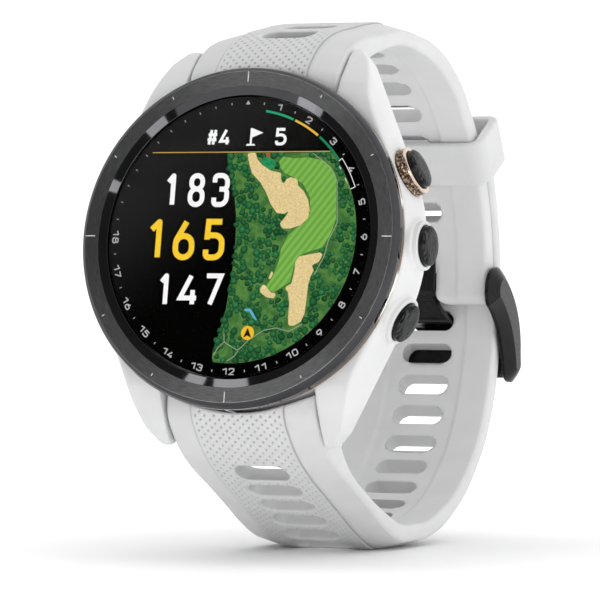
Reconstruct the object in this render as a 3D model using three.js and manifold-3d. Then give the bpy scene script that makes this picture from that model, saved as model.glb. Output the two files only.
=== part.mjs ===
// Golf GPS watch, closed on its buckle. Millimetres, +Z up, the dial faces -Y and leans back a little.
// The watch stands on the lowest stretch of its strap. X is the dial's 3 o'clock direction.
import * as THREE from 'three';
import { mergeVertices } from 'three/addons/utils/BufferGeometryUtils.js';
import Module from 'manifold-3d';

const wasm = await Module();
wasm.setup();

const degrees = (angle) => THREE.MathUtils.degToRad(angle);

// ---------------------------------------------------------------- driving dimensions
const DIAL_TILT = degrees(10.28);   // the dial leans back from the vertical by this much
const GAP = 0.3;                    // running and assembly clearance between pieces
const THIN_GAP = 0.15;              // clearance between stacked flat pieces

const BEZEL_RADIUS = 21;
const BEZEL_BORE = 17.4;
const CASE_RADIUS = 21.3;
const CASE_TOP = -2.9;              // heights in the case are measured from the bezel's top face
const CASE_BOTTOM = -11.3;
const CAVITY_RADIUS = 16;
const LUG_CORNER = new THREE.Vector2(13.1, 22.7);
const LUG_TIP = 24.6;
const STRAP_SEAT_RADIUS = 20.3;     // the round wall that the strap ends butt against
const COVER_RADIUS = 19.6;
const COVER_TOP = CASE_BOTTOM - 0.2;
const COVER_BOTTOM = -12.4;
const SCREW_CIRCLE = 18;
const ROUND = 48;                   // flats on the case's large rounds

const STRAP_HALF_WIDTH = 10;
const BUCKLE_HALF_WIDTH = 9.6;      // the strap narrows to this towards its buckle
const LUG_PIN_U = 21.6;             // height of the lug pins above and below the dial's centre
const LUG_PIN_N = -8.2;
const REST_HEIGHT = -39.5;          // the strap is flat here, below the dial's centre, and the watch stands on it
const PIN_RADIUS = 0.75;
const PIN_REACH = 11.3;

const WRIST_CENTRE = new THREE.Vector2(28.4, -5);   // centre (Y, Z) of the strap's round back
const WRIST_RADIUS = 29.6;
const BUCKLE_STRAP_THICKNESS = 3.1;
const TAIL_RADIUS = WRIST_RADIUS + BUCKLE_STRAP_THICKNESS + GAP;
const TAIL_THICKNESS = 2.4;
const SLOT_LENGTH = 7;
const SLOT_WIDTH = 2.7;

const SPRING_BAR = new THREE.Vector2(59.4, -7.4);   // Y, Z of the buckle's spring bar
const FAR_BAR = new THREE.Vector2(65.1, -17.4);     // Y, Z of the buckle's far bar
const ARM_INSIDE = 9.9;
const ARM_OUTSIDE = 11.6;

const BUTTON_HEIGHT = -6.4;
const BUTTON_RADIUS = 2.45;
const BUTTON_HEAD = 0.85;           // how far a button's head stands out of its ring
const COLLAR_RADIUS = 3.0;
const COLLAR_SEAT = 1.5;            // depth of the collar's counterbore below the head's seat
const BUTTONS = [
  { name: 'start', angle: 24.5, face: 23.2 },
  { name: 'menu', angle: -0.1, face: 23.0 },
  { name: 'back', angle: -25, face: 22.9 },
];

// ---------------------------------------------------------------- materials
const finish = (color, roughness, metalness) =>
  new THREE.MeshStandardMaterial({ color, roughness, metalness });

const WHITE_POLYMER = finish(0xe6e6e6, 0.45, 0);
const WHITE_SILICONE = finish(0xe2e2e2, 0.6, 0);
const GREY_METAL = finish(0x4c4c4f, 0.35, 1);
const ROSE_GOLD = finish(0xc9a084, 0.3, 1);
const BLACK_METAL = finish(0x1d1d1f, 0.4, 1);
const GLASS = finish(0x0b0c0e, 0.05, 0);
const DARK_POLYMER = finish(0x222326, 0.5, 0);
const RUBBER = finish(0x161616, 0.8, 0);
const BOARD_GREEN = finish(0x1e5a3a, 0.5, 0);
const STEEL = finish(0xb5b5b8, 0.3, 1);
const GOLD_PLATE = finish(0xd8b25a, 0.25, 1);

// ---------------------------------------------------------------- solid tools
function signedVolume(geometry) {
  const points = geometry.attributes.position;
  const corners = geometry.index;
  const [a, b, c] = [new THREE.Vector3(), new THREE.Vector3(), new THREE.Vector3()];
  let volume = 0;
  for (let i = 0; i < corners.count; i += 3) {
    a.fromBufferAttribute(points, corners.getX(i));
    b.fromBufferAttribute(points, corners.getX(i + 1));
    c.fromBufferAttribute(points, corners.getX(i + 2));
    volume += a.dot(b.cross(c)) / 6;
  }
  return volume;
}

// A closed three.js geometry as a manifold solid, turned so that its faces point out.
function solid(geometry) {
  const bare = geometry.clone();
  bare.deleteAttribute('normal');
  bare.deleteAttribute('uv');
  const merged = mergeVertices(bare, 1e-4);
  const corners = Uint32Array.from(merged.index.array);
  if (signedVolume(merged) < 0) {
    for (let i = 0; i < corners.length; i += 3) {
      [corners[i], corners[i + 1]] = [corners[i + 1], corners[i]];
    }
  }
  const vertProperties = Float32Array.from(merged.attributes.position.array);
  return new wasm.Manifold(new wasm.Mesh({ numProp: 3, vertProperties, triVerts: corners }));
}

function toGeometry(body) {
  const mesh = body.getMesh();
  const geometry = new THREE.BufferGeometry();
  geometry.setAttribute('position', new THREE.BufferAttribute(mesh.vertProperties, 3));
  geometry.setIndex(new THREE.BufferAttribute(mesh.triVerts, 1));
  geometry.computeVertexNormals();
  return geometry;
}

const joined = (...bodies) => bodies.reduce((sum, body) => sum.add(body));
const cut = (body, ...tools) => tools.reduce((rest, tool) => rest.subtract(tool), body);

function box(low, high) {
  const size = high.map((value, axis) => value - low[axis]);
  const middle = high.map((value, axis) => (value + low[axis]) / 2);
  return solid(new THREE.BoxGeometry(...size).translate(...middle));
}

// A body of revolution about Z from closed (radius, height) points.
function turned(profile, segments = 32) {
  const points = [...profile, profile[0]].map(([radius, height]) => new THREE.Vector2(radius, height));
  return solid(new THREE.LatheGeometry(points, segments).rotateX(Math.PI / 2));
}

const disc = (radius, low, high, segments) =>
  turned([[0, low], [radius, low], [radius, high], [0, high]], segments);
const ring = (inner, outer, low, high, segments) =>
  turned([[inner, low], [outer, low], [outer, high], [inner, high]], segments);

// A cylinder along X from one end to the other, at the given place in Y and Z.
function rod(radius, from, to, y, z, segments = 16) {
  const geometry = new THREE.CylinderGeometry(radius, radius, to - from, segments);
  return solid(geometry.rotateZ(Math.PI / 2).translate((from + to) / 2, y, z));
}

// An outline in the Y-Z plane, extruded along X.
function sidePlate(shape, from, to, curveSegments = 6) {
  const options = { depth: to - from, bevelEnabled: false, curveSegments };
  const geometry = new THREE.ExtrudeGeometry(shape, options);
  const axes = new THREE.Matrix4().makeBasis(
    new THREE.Vector3(0, 1, 0), new THREE.Vector3(0, 0, 1), new THREE.Vector3(1, 0, 0));
  return solid(geometry.applyMatrix4(axes).translate(from, 0, 0));
}

function polygon(points) {
  return new THREE.Shape(points.map(([x, y]) => new THREE.Vector2(x, y)));
}

// Joins equal rings of points into one closed body with flat ends.
function lofted(rings) {
  const count = rings[0].length;
  const positions = rings.flat().flatMap((point) => point.toArray());
  const corners = [];
  for (let level = 0; level + 1 < rings.length; level += 1) {
    for (let i = 0; i < count; i += 1) {
      const a = level * count + i;
      const b = level * count + ((i + 1) % count);
      corners.push(a, b, a + count, b, b + count, a + count);
    }
  }
  const last = (rings.length - 1) * count;
  for (let i = 1; i + 1 < count; i += 1) {
    corners.push(0, i + 1, i, last, last + i, last + i + 1);
  }
  const geometry = new THREE.BufferGeometry();
  geometry.setAttribute('position', new THREE.Float32BufferAttribute(positions, 3));
  geometry.setIndex(corners);
  return solid(geometry);
}

// ---------------------------------------------------------------- the assembly's groups
const watch = new THREE.Group();
const caseGroup = new THREE.Group();          // local x right, y up the dial, z out of the dial
caseGroup.rotation.x = Math.PI / 2 - DIAL_TILT;
watch.add(caseGroup);

function addPart(parent, name, material, body) {
  const mesh = new THREE.Mesh(toGeometry(body), material);
  mesh.name = name;
  parent.add(mesh);
  return mesh;
}

// A point of the case (height up the dial, distance out of it) as Y and Z of the watch.
function fromCase(u, n) {
  const [sine, cosine] = [Math.sin(DIAL_TILT), Math.cos(DIAL_TILT)];
  return new THREE.Vector2(u * sine - n * cosine, u * cosine + n * sine);
}

// A body made in the case's axes, turned into the watch's axes.
const caseToWatch = (body) => body.rotate([90 - THREE.MathUtils.radToDeg(DIAL_TILT), 0, 0]);

// ---------------------------------------------------------------- bezel, lens and display
function addFront() {
  const bezel = turned([
    [BEZEL_BORE, -2], [BEZEL_RADIUS - 0.3, -2], [BEZEL_RADIUS, -1.7], [BEZEL_RADIUS, -0.9],
    [BEZEL_RADIUS - 0.25, -0.3], [BEZEL_RADIUS - 0.7, 0], [18.5, 0], [BEZEL_BORE, -0.25],
  ], ROUND);
  addPart(caseGroup, 'bezel_ring', GREY_METAL, bezel);
  addPart(caseGroup, 'lens_glass', GLASS, disc(BEZEL_BORE - 0.2, -1.7, -0.2, ROUND));
  addPart(caseGroup, 'lens_seal', RUBBER, ring(15.95, BEZEL_BORE - 0.2, -2.35, -1.7 - THIN_GAP));
  addPart(caseGroup, 'accent_ring', ROSE_GOLD, ring(18.6, 20.85, CASE_TOP + THIN_GAP, -2 - THIN_GAP, ROUND));
  addPart(caseGroup, 'display_panel', DARK_POLYMER, disc(15.75, -3.1, -1.7 - THIN_GAP));
}

// ---------------------------------------------------------------- mid case
// Half of the outline between two lug corners is an arc, and straight flanks run tangent to it.
function caseOutline(inset) {
  const flank = Math.acos(CASE_RADIUS / LUG_CORNER.length());
  const arc = LUG_CORNER.angle() - flank;
  const shape = new THREE.Shape();
  shape.moveTo(LUG_CORNER.x, -LUG_CORNER.y);
  shape.absarc(0, 0, CASE_RADIUS, -arc, arc, false);
  shape.lineTo(LUG_CORNER.x, LUG_CORNER.y);
  shape.lineTo(LUG_CORNER.x - 1.6, LUG_TIP);
  shape.lineTo(1.6 - LUG_CORNER.x, LUG_TIP);
  shape.lineTo(-LUG_CORNER.x, LUG_CORNER.y);
  shape.absarc(0, 0, CASE_RADIUS, Math.PI - arc, Math.PI + arc, false);
  shape.lineTo(-LUG_CORNER.x, -LUG_CORNER.y);
  shape.lineTo(1.6 - LUG_CORNER.x, -LUG_TIP);
  shape.lineTo(LUG_CORNER.x - 1.6, -LUG_TIP);
  const points = shape.getPoints(9);
  return points.map((point, i) => {
    const before = points[(i + points.length - 1) % points.length];
    const after = points[(i + 1) % points.length];
    const along = after.clone().sub(before).normalize();
    return new THREE.Vector2(point.x - along.y * inset, point.y + along.x * inset);
  });
}

function caseBody() {
  const levels = [[CASE_TOP, 0.75], [-3.6, 0.35], [-5.4, 0], [-8.6, 0.1], [-10.3, 0.7], [CASE_BOTTOM, 1.6]];
  const body = lofted(levels.map(([height, inset]) =>
    caseOutline(inset).map((point) => new THREE.Vector3(point.x, point.y, height))));
  const lugLine = [[17.6, CASE_TOP + 1], [17.6, -3.1], [19.6, -4], [22.2, -5.6], [24.1, -7.1],
    [LUG_TIP + 0.1, -8.1], [23.9, -9.6], [21.8, -10.8], [19.4, CASE_BOTTOM - 1]];
  const mirrored = lugLine.map(([u, n]) => [-u, n]).reverse();
  const sideView = sidePlate(polygon([...lugLine, ...mirrored]), -CASE_RADIUS - 2, CASE_RADIUS + 2);
  return body.intersect(sideView);
}

function buttonBore(button) {
  const boss = button.face - BUTTON_HEAD;
  const bore = joined(
    rod(BUTTON_RADIUS + 0.2, boss - 2.3, boss + 4, 0, 0, 24),
    rod(1.25, CAVITY_RADIUS - 1, boss, 0, 0, 12),
    rod(1.95, 17.2, 18.2, 0, 0, 12),
    rod(2.0, CAVITY_RADIUS - 1, 16.85, 0, 0, 12),
    ...(button.name === 'start' ? [rod(COLLAR_RADIUS + 0.1, boss - COLLAR_SEAT, boss + 4, 0, 0, 24)] : []),
  );
  return bore.rotate([0, 0, button.angle]).translate([0, 0, BUTTON_HEIGHT]);
}

function buttonBoss(button) {
  const collared = button.name === 'start';
  const top = collared ? button.face - BUTTON_HEAD - COLLAR_SEAT : button.face - BUTTON_HEAD;
  const boss = joined(
    rod(BUTTON_RADIUS + 0.6, 18, top, 0, 0, 24),
    rod(BUTTON_RADIUS + 0.9, 18, top - 0.35, 0, 0, 24),
  );
  return boss.rotate([0, 0, button.angle]).translate([0, 0, BUTTON_HEIGHT]);
}

function screwPlaces() {
  return [40, 140, 220, 320].map((angle) =>
    [SCREW_CIRCLE * Math.cos(degrees(angle)), SCREW_CIRCLE * Math.sin(degrees(angle))]);
}

function addMidCase() {
  const recess = box([-STRAP_HALF_WIDTH - GAP, -30, -14], [STRAP_HALF_WIDTH + GAP, 30, 0]);
  const strapRecesses = recess.subtract(disc(STRAP_SEAT_RADIUS, -15, 1, ROUND));
  const pinHole = (side) => rod(PIN_RADIUS + 0.15, -PIN_REACH - GAP, PIN_REACH + GAP, LUG_PIN_U * side, LUG_PIN_N);
  const screwHoles = screwPlaces().map(([x, y]) => disc(0.75, CASE_BOTTOM - 1, -7, 12).translate([x, y, 0]));
  const body = cut(
    joined(caseBody(), ...BUTTONS.map(buttonBoss)),
    disc(CAVITY_RADIUS, CASE_BOTTOM - 1, CASE_TOP + 1, ROUND),
    ring(16.35, 17.15, CASE_BOTTOM - 1, -10.5),
    strapRecesses, pinHole(1), pinHole(-1),
    ...screwHoles, ...BUTTONS.map(buttonBore),
  );
  addPart(caseGroup, 'mid_case', WHITE_POLYMER, body);
}

// ---------------------------------------------------------------- inner pieces
function addInside() {
  addPart(caseGroup, 'inner_frame', DARK_POLYMER, ring(11, 15.7, -4.3, -3.3));
  const board = cut(disc(15.4, -5.4, -4.6), box([-2, 13.6, -6], [2, 17, -4]), box([-2, -17, -6], [2, -13.6, -4]));
  addPart(caseGroup, 'main_board', BOARD_GREEN, board);
  addPart(caseGroup, 'battery', STEEL, box([-10.4, -9.6, -9.9], [9, 9.6, -5.9]));
  addPart(caseGroup, 'vibration_motor', STEEL, disc(2.1, -8.6, -6, 24).translate([-13, 0, 0]));
  addPart(caseGroup, 'sensor_module', BOARD_GREEN, disc(6.4, -11.2, -10.4, 32));
  for (const button of BUTTONS) {
    const tactSwitch = box([13, -1.6, BUTTON_HEIGHT - 1.1], [15.15, 1.6, -5.6]);
    addPart(caseGroup, `${button.name}_switch`, STEEL, tactSwitch.rotate([0, 0, button.angle]));
  }
}

// ---------------------------------------------------------------- back cover
const WINDOW_RADIUS = 7.6;
const CONTACT_ROW = -12.6;                       // height of the charging contacts below the dial's centre
const CONTACT_PLACES = [-2.4, -0.8, 0.8, 2.4];

function addBack() {
  const headPockets = screwPlaces().map(([x, y]) => joined(
    disc(1.3, COVER_BOTTOM - 1, -11.95, 12), disc(0.9, COVER_BOTTOM - 1, 0, 8)).translate([x, y, 0]));
  const plate = turned([[0, COVER_TOP], [COVER_RADIUS, COVER_TOP], [COVER_RADIUS, -11.9],
    [COVER_RADIUS - 0.6, COVER_BOTTOM], [0, COVER_BOTTOM]], ROUND);
  const blockWindow = box([-3.9, CONTACT_ROW - 1.6, -14], [3.9, CONTACT_ROW + 1.6, -10]);
  const cover = cut(plate, disc(WINDOW_RADIUS + 0.2, -14, -10), blockWindow, ...headPockets);
  addPart(caseGroup, 'back_cover', WHITE_POLYMER, cover);
  addPart(caseGroup, 'back_gasket', RUBBER, ring(16.5, 17, CASE_BOTTOM - 0.05, -10.65));
  addPart(caseGroup, 'sensor_window', GLASS, turned([[0, COVER_TOP], [WINDOW_RADIUS, COVER_TOP],
    [WINDOW_RADIUS, COVER_BOTTOM], [WINDOW_RADIUS - 1.6, -12.9], [0, -13.1]]));
  const pockets = CONTACT_PLACES.map((x) => disc(0.6, -14, -11.95, 10).translate([x, CONTACT_ROW, 0]));
  const block = box([-3.7, CONTACT_ROW - 1.4, -12.3], [3.7, CONTACT_ROW + 1.4, -10.9]);
  addPart(caseGroup, 'charging_block', DARK_POLYMER, cut(block, ...pockets));
  CONTACT_PLACES.forEach((x, i) => {
    const contact = disc(0.45, -12.45, -12.1, 10).translate([x, CONTACT_ROW, 0]);
    addPart(caseGroup, `charging_contact_${i + 1}`, GOLD_PLATE, contact);
  });
  screwPlaces().forEach(([x, y], i) => {
    const drive = box([-0.2, -0.75, -13], [0.2, 0.75, -12.15]);
    const screw = joined(disc(1.1, -12.38, -12.1, 12), disc(0.6, -12.2, -7.3, 8)).subtract(drive);
    addPart(caseGroup, `case_screw_${i + 1}`, STEEL, screw.translate([x, y, 0]));
  });
}

// ---------------------------------------------------------------- buttons
// Each button is turned about its own stem, then laid along the case's radius at its angle.
function addButtons() {
  for (const button of BUTTONS) {
    const seat = button.face - BUTTON_HEAD;
    const place = (body) => body.rotate([0, 90, 0]).rotate([0, 0, button.angle]).translate([0, 0, BUTTON_HEIGHT]);
    const cap = turned([
      [0, 15.85], [1, 15.85], [1, 16.1], [0.6, 16.1], [0.6, 16.65], [1, 16.65], [1, seat - 1.3],
      [BUTTON_RADIUS, seat - 1.3], [BUTTON_RADIUS, button.face - 0.3], [BUTTON_RADIUS - 0.4, button.face],
      [0, button.face],
    ], 24);
    addPart(caseGroup, `${button.name}_button`, BLACK_METAL, place(cap));
    addPart(caseGroup, `${button.name}_button_seal`, RUBBER, place(ring(1.1, 1.8, 17.35, 18.05, 12)));
    addPart(caseGroup, `${button.name}_button_clip`, STEEL, place(ring(0.75, 1.75, 16.2, 16.55, 12)));
    if (button.name === 'start') {
      const collar = ring(BUTTON_RADIUS + 0.2, COLLAR_RADIUS, seat - 1.35, seat, 24);
      addPart(caseGroup, 'start_button_collar', ROSE_GOLD, place(collar));
    }
  }
}

// ---------------------------------------------------------------- straps
// A station is the strap's outer and inner point (Y, Z), its half width and the drop of its shoulders.
const station = (outerY, outerZ, innerY, innerZ, half = STRAP_HALF_WIDTH, drop = 0.9) =>
  ({ outer: [outerY, outerZ], inner: [innerY, innerZ], half, drop });

function arcStation(angle, radius, thickness, half, drop) {
  const [y, z] = [Math.cos(degrees(angle)), Math.sin(degrees(angle))];
  const outer = radius + thickness;
  return station(WRIST_CENTRE.x + outer * y, WRIST_CENTRE.y + outer * z,
    WRIST_CENTRE.x + radius * y, WRIST_CENTRE.y + radius * z, half, drop);
}

const endStation = (u) => {
  const [outer, inner] = [fromCase(u, -3.5), fromCase(u, -11.3)];
  return station(outer.x, outer.y, inner.x, inner.y);
};

const LOWER_STATIONS = [
  endStation(-17.5), station(0.1, -21.6, 7.7, -22.2), station(2.0, -24.6, 8.9, -24.8),
  station(4.5, -27.1, 9.9, -26.5), station(7.9, -29.5, 11.4, -28.1), station(11.6, -31.6, 13.6, -29.7),
  station(17.1, -34.6, 18.4, -32.3), station(21.3, -36.9, 22.5, -34.1), station(25, -38.6, 25.8, -35.4),
  station(28.4, -39.6, 28.8, -36.3), station(33, -39.7, 33, -36.5), station(37.6, -39.4, 37, -36.4),
  station(43, -37.9, 41.8, -35.3, 9.93, 0.6), station(47.2, -36.2, 45.8, -33.9, 9.88, 0.6),
  station(51.2, -34, 49.4, -31.8, 9.84, 0.6), station(54.8, -31.1, 52.6, -29.3, 9.8, 0.6),
  station(57.6, -28.3, 55, -26.9, 9.76, 0.55), station(59.7, -25.4, 56.9, -24.1, 9.72, 0.5),
  station(61.3, -22.4, 58.4, -21.3, 9.68, 0.5), station(62.6, -19.1, 59.6, -18.3, 9.64, 0.45),
  station(63.4, -15.8, 60.6, -15.3, BUCKLE_HALF_WIDTH, 0.4),
  station(63.8, -12.2, 61.2, -12, BUCKLE_HALF_WIDTH, 0.35),
  ...[-6, 2, 10, 17, 24, 30.5].map((angle) =>
    arcStation(angle, TAIL_RADIUS, TAIL_THICKNESS, BUCKLE_HALF_WIDTH, 0.35)),
];

const UPPER_STATIONS = [
  endStation(17.5), station(6.9, 19.6, 15.1, 18.7), station(8.9, 21.8, 16.2, 20.6),
  station(11.8, 23.7, 17.5, 21.6), station(15.9, 25.1, 19.2, 22.2), station(20.7, 25.9, 22.2, 22.9),
  station(25.6, 26.6, 26.1, 23.6), station(30.2, 26.9, 30, 23.8),
  ...[[80, 28.9, 2.7], [70, 29.2, 3], [60, 29.4, 3.05], [50, WRIST_RADIUS, BUCKLE_STRAP_THICKNESS]]
    .map(([angle, radius, thickness]) => arcStation(angle, radius, thickness, 9.85, 0.5)),
  ...[42, 34, 26, 18, 10, 2, -7.7].map((angle) =>
    arcStation(angle, WRIST_RADIUS, BUCKLE_STRAP_THICKNESS, BUCKLE_HALF_WIDTH, 0.3)),
];

// The strap's section: flat middle, sloping shoulders, upright edge, and a flat inner face.
function strapSection(half, drop, thickness) {
  const right = [[half - 0.7, 0], [half, 0.6], [half, thickness - drop - 0.5],
    [half - 0.4, thickness - drop], [6.1, thickness]];
  return [...right, ...right.map(([x, depth]) => [-x, depth]).reverse()];
}

function strapBody(stations, steps) {
  const outline = (key) => new THREE.CatmullRomCurve3(
    stations.map((entry) => new THREE.Vector3(entry[key][0], entry[key][1], 0)));
  const shape = new THREE.CatmullRomCurve3(stations.map(({ half, drop }) => new THREE.Vector3(half, drop, 0)));
  const [outer, inner] = [outline('outer'), outline('inner')];
  const rings = [];
  for (let i = 0; i <= steps; i += 1) {
    const [top, bottom, form] = [outer, inner, shape].map((curve) => curve.getPoint(i / steps));
    const across = top.clone().sub(bottom);
    const thickness = across.length();
    across.normalize();
    rings.push(strapSection(form.x, form.y, thickness).map(([x, depth]) =>
      new THREE.Vector3(x, bottom.x + across.x * depth, bottom.y + across.y * depth)));
  }
  return lofted(rings);
}

// The line midway through the strap, for placing slots along it.
function middleLine(stations) {
  return new THREE.CatmullRomCurve3(stations.map(({ outer, inner }) =>
    new THREE.Vector3(0, (outer[0] + inner[0]) / 2, (outer[1] + inner[1]) / 2)));
}

// One through slot with round ends, at a distance along the middle line.
function slotTool(line, distance) {
  const along = line.getTangentAt(distance / line.getLength());
  const centre = line.getPointAt(distance / line.getLength());
  const [reach, radius] = [(SLOT_LENGTH - SLOT_WIDTH) / 2, SLOT_WIDTH / 2];
  const shape = new THREE.Shape();
  shape.absarc(reach, 0, radius, -Math.PI / 2, Math.PI / 2, false);
  shape.absarc(-reach, 0, radius, Math.PI / 2, Math.PI * 1.5, false);
  const depth = 12;
  const geometry = new THREE.ExtrudeGeometry(shape, { depth, bevelEnabled: false, curveSegments: 4 });
  const sideways = new THREE.Vector3(1, 0, 0);
  const axes = new THREE.Matrix4().makeBasis(sideways, along, sideways.clone().cross(along));
  geometry.translate(0, 0, -depth / 2).applyMatrix4(axes.setPosition(centre));
  return solid(geometry);
}

// Slots at an even pitch, "first" from the case end. The first five close up towards the sixth by "crowding".
function slotRow(stations, { first, pitch, count, crowding }) {
  const line = middleLine(stations);
  return Array.from({ length: count }, (_, i) =>
    slotTool(line, first + i * pitch + crowding * Math.max(0, 1 - i / 5) ** 1.5));
}

const LOWER_SLOTS = { first: 9.6, pitch: 4.53, count: 21, crowding: 2.4 };
const UPPER_SLOTS = { first: 11.3, pitch: 5.2, count: 11, crowding: 0 };

// The bore for a lug pin and the short slot for the knob that draws its plunger back.
const KNOB = { from: 5.9, to: 7.5, travel: 1.5 };

function lugEndTools(side) {
  const pinBore = rod(PIN_RADIUS + 0.2, -12, 12, LUG_PIN_U * side, LUG_PIN_N);
  const centre = LUG_PIN_U * side;
  const knobSlot = box([KNOB.from - KNOB.travel - GAP, centre - 0.95, -15], [KNOB.to + GAP, centre + 0.95, LUG_PIN_N]);
  const caseWall = disc(STRAP_SEAT_RADIUS + GAP, -15, 1, ROUND);
  return caseToWatch(joined(pinBore, knobSlot, caseWall));
}

function addStraps() {
  const belowRest = box([-12, 10, REST_HEIGHT - 2], [12, 60, REST_HEIGHT]);
  const lower = cut(strapBody(LOWER_STATIONS, 48), lugEndTools(-1), belowRest,
    ...slotRow(LOWER_STATIONS, LOWER_SLOTS));
  addPart(watch, 'lower_strap', WHITE_SILICONE, lower);
  const tongueNotch = box([-2.35, 50, -12], [2.35, 70, -3.1]);
  const barBore = rod(PIN_RADIUS + 0.2, -12, 12, SPRING_BAR.x, SPRING_BAR.y);
  const upper = cut(strapBody(UPPER_STATIONS, 38), lugEndTools(1), tongueNotch, barBore,
    ...slotRow(UPPER_STATIONS, UPPER_SLOTS));
  addPart(watch, 'upper_strap', WHITE_SILICONE, upper);
}

// ---------------------------------------------------------------- quick-release lug pins
function addLugPins() {
  for (const [name, side] of [['upper', 1], ['lower', -1]]) {
    const centre = LUG_PIN_U * side;
    addPart(caseGroup, `${name}_pin_tube`, STEEL, rod(PIN_RADIUS, -PIN_REACH, 3.4, centre, LUG_PIN_N));
    const knob = box([KNOB.from, centre - 0.6, -12.2], [KNOB.to, centre + 0.6, LUG_PIN_N]);
    const plunger = joined(rod(PIN_RADIUS, 5.2, PIN_REACH, centre, LUG_PIN_N), knob);
    addPart(caseGroup, `${name}_release_plunger`, STEEL, plunger);
  }
}

// ---------------------------------------------------------------- keeper loop
const KEEPER_ANGLE = 29.6;
const KEEPER_LENGTH = 6.2;

function roundedBox(left, right, low, high, lowRadius, highRadius) {
  const shape = new THREE.Shape();
  const quarter = Math.PI / 2;
  shape.absarc(right - lowRadius, low + lowRadius, lowRadius, -quarter, 0, false);
  shape.absarc(right - highRadius, high - highRadius, highRadius, 0, quarter, false);
  shape.absarc(left + highRadius, high - highRadius, highRadius, quarter, 2 * quarter, false);
  shape.absarc(left + lowRadius, low + lowRadius, lowRadius, 2 * quarter, 3 * quarter, false);
  return shape;
}

// A rounded band about both strap layers, straight along the strap.
function addKeeper() {
  const inner = WRIST_RADIUS - GAP;
  const outer = TAIL_RADIUS + TAIL_THICKNESS + GAP;
  const half = BUCKLE_HALF_WIDTH + GAP;
  const extrude = (shape, depth) => solid(new THREE.ExtrudeGeometry(shape,
    { depth, bevelEnabled: false, curveSegments: 8 }).translate(0, 0, -depth / 2));
  const band = extrude(roundedBox(-half - 1.3, half + 1.3, inner - 0.9, outer + 0.9, 2.4, 1.5), KEEPER_LENGTH);
  const mouth = extrude(roundedBox(-half, half, inner, outer, 0.7, 0.7), KEEPER_LENGTH + 2);
  const outwards = new THREE.Vector3(0, Math.cos(degrees(KEEPER_ANGLE)), Math.sin(degrees(KEEPER_ANGLE)));
  const sideways = new THREE.Vector3(1, 0, 0);
  const axes = new THREE.Matrix4().makeBasis(sideways, outwards, sideways.clone().cross(outwards));
  axes.setPosition(0, WRIST_CENTRE.x, WRIST_CENTRE.y);
  addPart(watch, 'keeper_loop', WHITE_SILICONE, band.subtract(mouth).transform(axes.elements));
}

// ---------------------------------------------------------------- buckle
function addBuckle() {
  const arm = new THREE.Shape();
  arm.absarc(SPRING_BAR.x, SPRING_BAR.y, 3.2, degrees(215), degrees(45), true);
  arm.bezierCurveTo(65.3, -7.6, 67.2, -11.6, 66.9, -15.6);
  arm.absarc(FAR_BAR.x - 0.2, FAR_BAR.y + 0.4, 2.1, degrees(10), degrees(-160), true);
  arm.bezierCurveTo(62.6, -15.6, 61.2, -11.8, 56.8, -9.2);
  const arms = joined(sidePlate(arm, ARM_INSIDE, ARM_OUTSIDE, 10), sidePlate(arm, -ARM_OUTSIDE, -ARM_INSIDE, 10));
  const farBar = rod(1.3, -ARM_INSIDE - 0.5, ARM_INSIDE + 0.5, FAR_BAR.x, FAR_BAR.y, 20);
  const tongueSeat = box([-3.6, FAR_BAR.x + 0.75, -22], [3.6, 70, -12]);
  const barHole = rod(PIN_RADIUS + 0.15, -PIN_REACH + 0.2, PIN_REACH - 0.2, SPRING_BAR.x, SPRING_BAR.y);
  addPart(watch, 'buckle_frame', BLACK_METAL, cut(joined(arms, farBar), tongueSeat, barHole));

  addPart(watch, 'buckle_spring_bar', STEEL,
    rod(PIN_RADIUS, -PIN_REACH + 0.4, PIN_REACH - 0.4, SPRING_BAR.x, SPRING_BAR.y));

  // The tongue's barrel sits on the spring bar; its blade leaves through a slot and ends on the far bar.
  const blade = new THREE.Shape();
  blade.moveTo(58.2, -8.2);
  blade.bezierCurveTo(58.9, -10.9, 60.6, -11.9, 62.4, -12);
  blade.bezierCurveTo(64.4, -12.1, 66, -13.9, 66.1, -18.4);
  blade.lineTo(67.2, -18.4);
  blade.bezierCurveTo(67.3, -13.2, 65.6, -10.8, 63.2, -10.7);
  blade.bezierCurveTo(61.4, -10.7, 60.2, -10.5, 59.8, -8.8);
  const plan = polygon([[-2, 0], [2, 0], [2, -9.6], [2.7, -11.2], [2.7, -16.4], [2.2, -19],
    [-2.2, -19], [-2.7, -16.4], [-2.7, -11.2], [-2, -9.6]]);
  const planTool = solid(new THREE.ExtrudeGeometry(plan, { depth: 20, bevelEnabled: false })
    .rotateX(Math.PI / 2).translate(0, 70, 0));
  const barrel = rod(1.75, -2, 2, SPRING_BAR.x, SPRING_BAR.y, 24);
  const bore = rod(PIN_RADIUS + 0.15, -3, 3, SPRING_BAR.x, SPRING_BAR.y);
  const tongue = joined(sidePlate(blade, -4, 4, 8), barrel).intersect(planTool);
  addPart(watch, 'buckle_tongue', BLACK_METAL, tongue.subtract(bore));
}

addFront();
addMidCase();
addInside();
addBack();
addButtons();
addStraps();
addLugPins();
addKeeper();
addBuckle();

// The origin is the middle of the surface that the watch stands on.
const extent = new THREE.Box3().setFromObject(watch, true);
const centre = extent.getCenter(new THREE.Vector3());
watch.position.set(-centre.x, -centre.y, -extent.min.z);

export default watch;
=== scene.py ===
"""Looks of the golf GPS watch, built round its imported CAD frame.

The dial faces -Y and the watch stands on its strap. Shapes are made in millimetres in one of two sets of
axes, both with their origin at the dial's centre: WATCH keeps the frame's axes, and CASE has x right, y up
the dial and z out of it.
"""

import math
import random

import bmesh
import bpy
import numpy as np
from mathutils import Matrix, Vector
from mathutils.geometry import delaunay_2d_cdt


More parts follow.
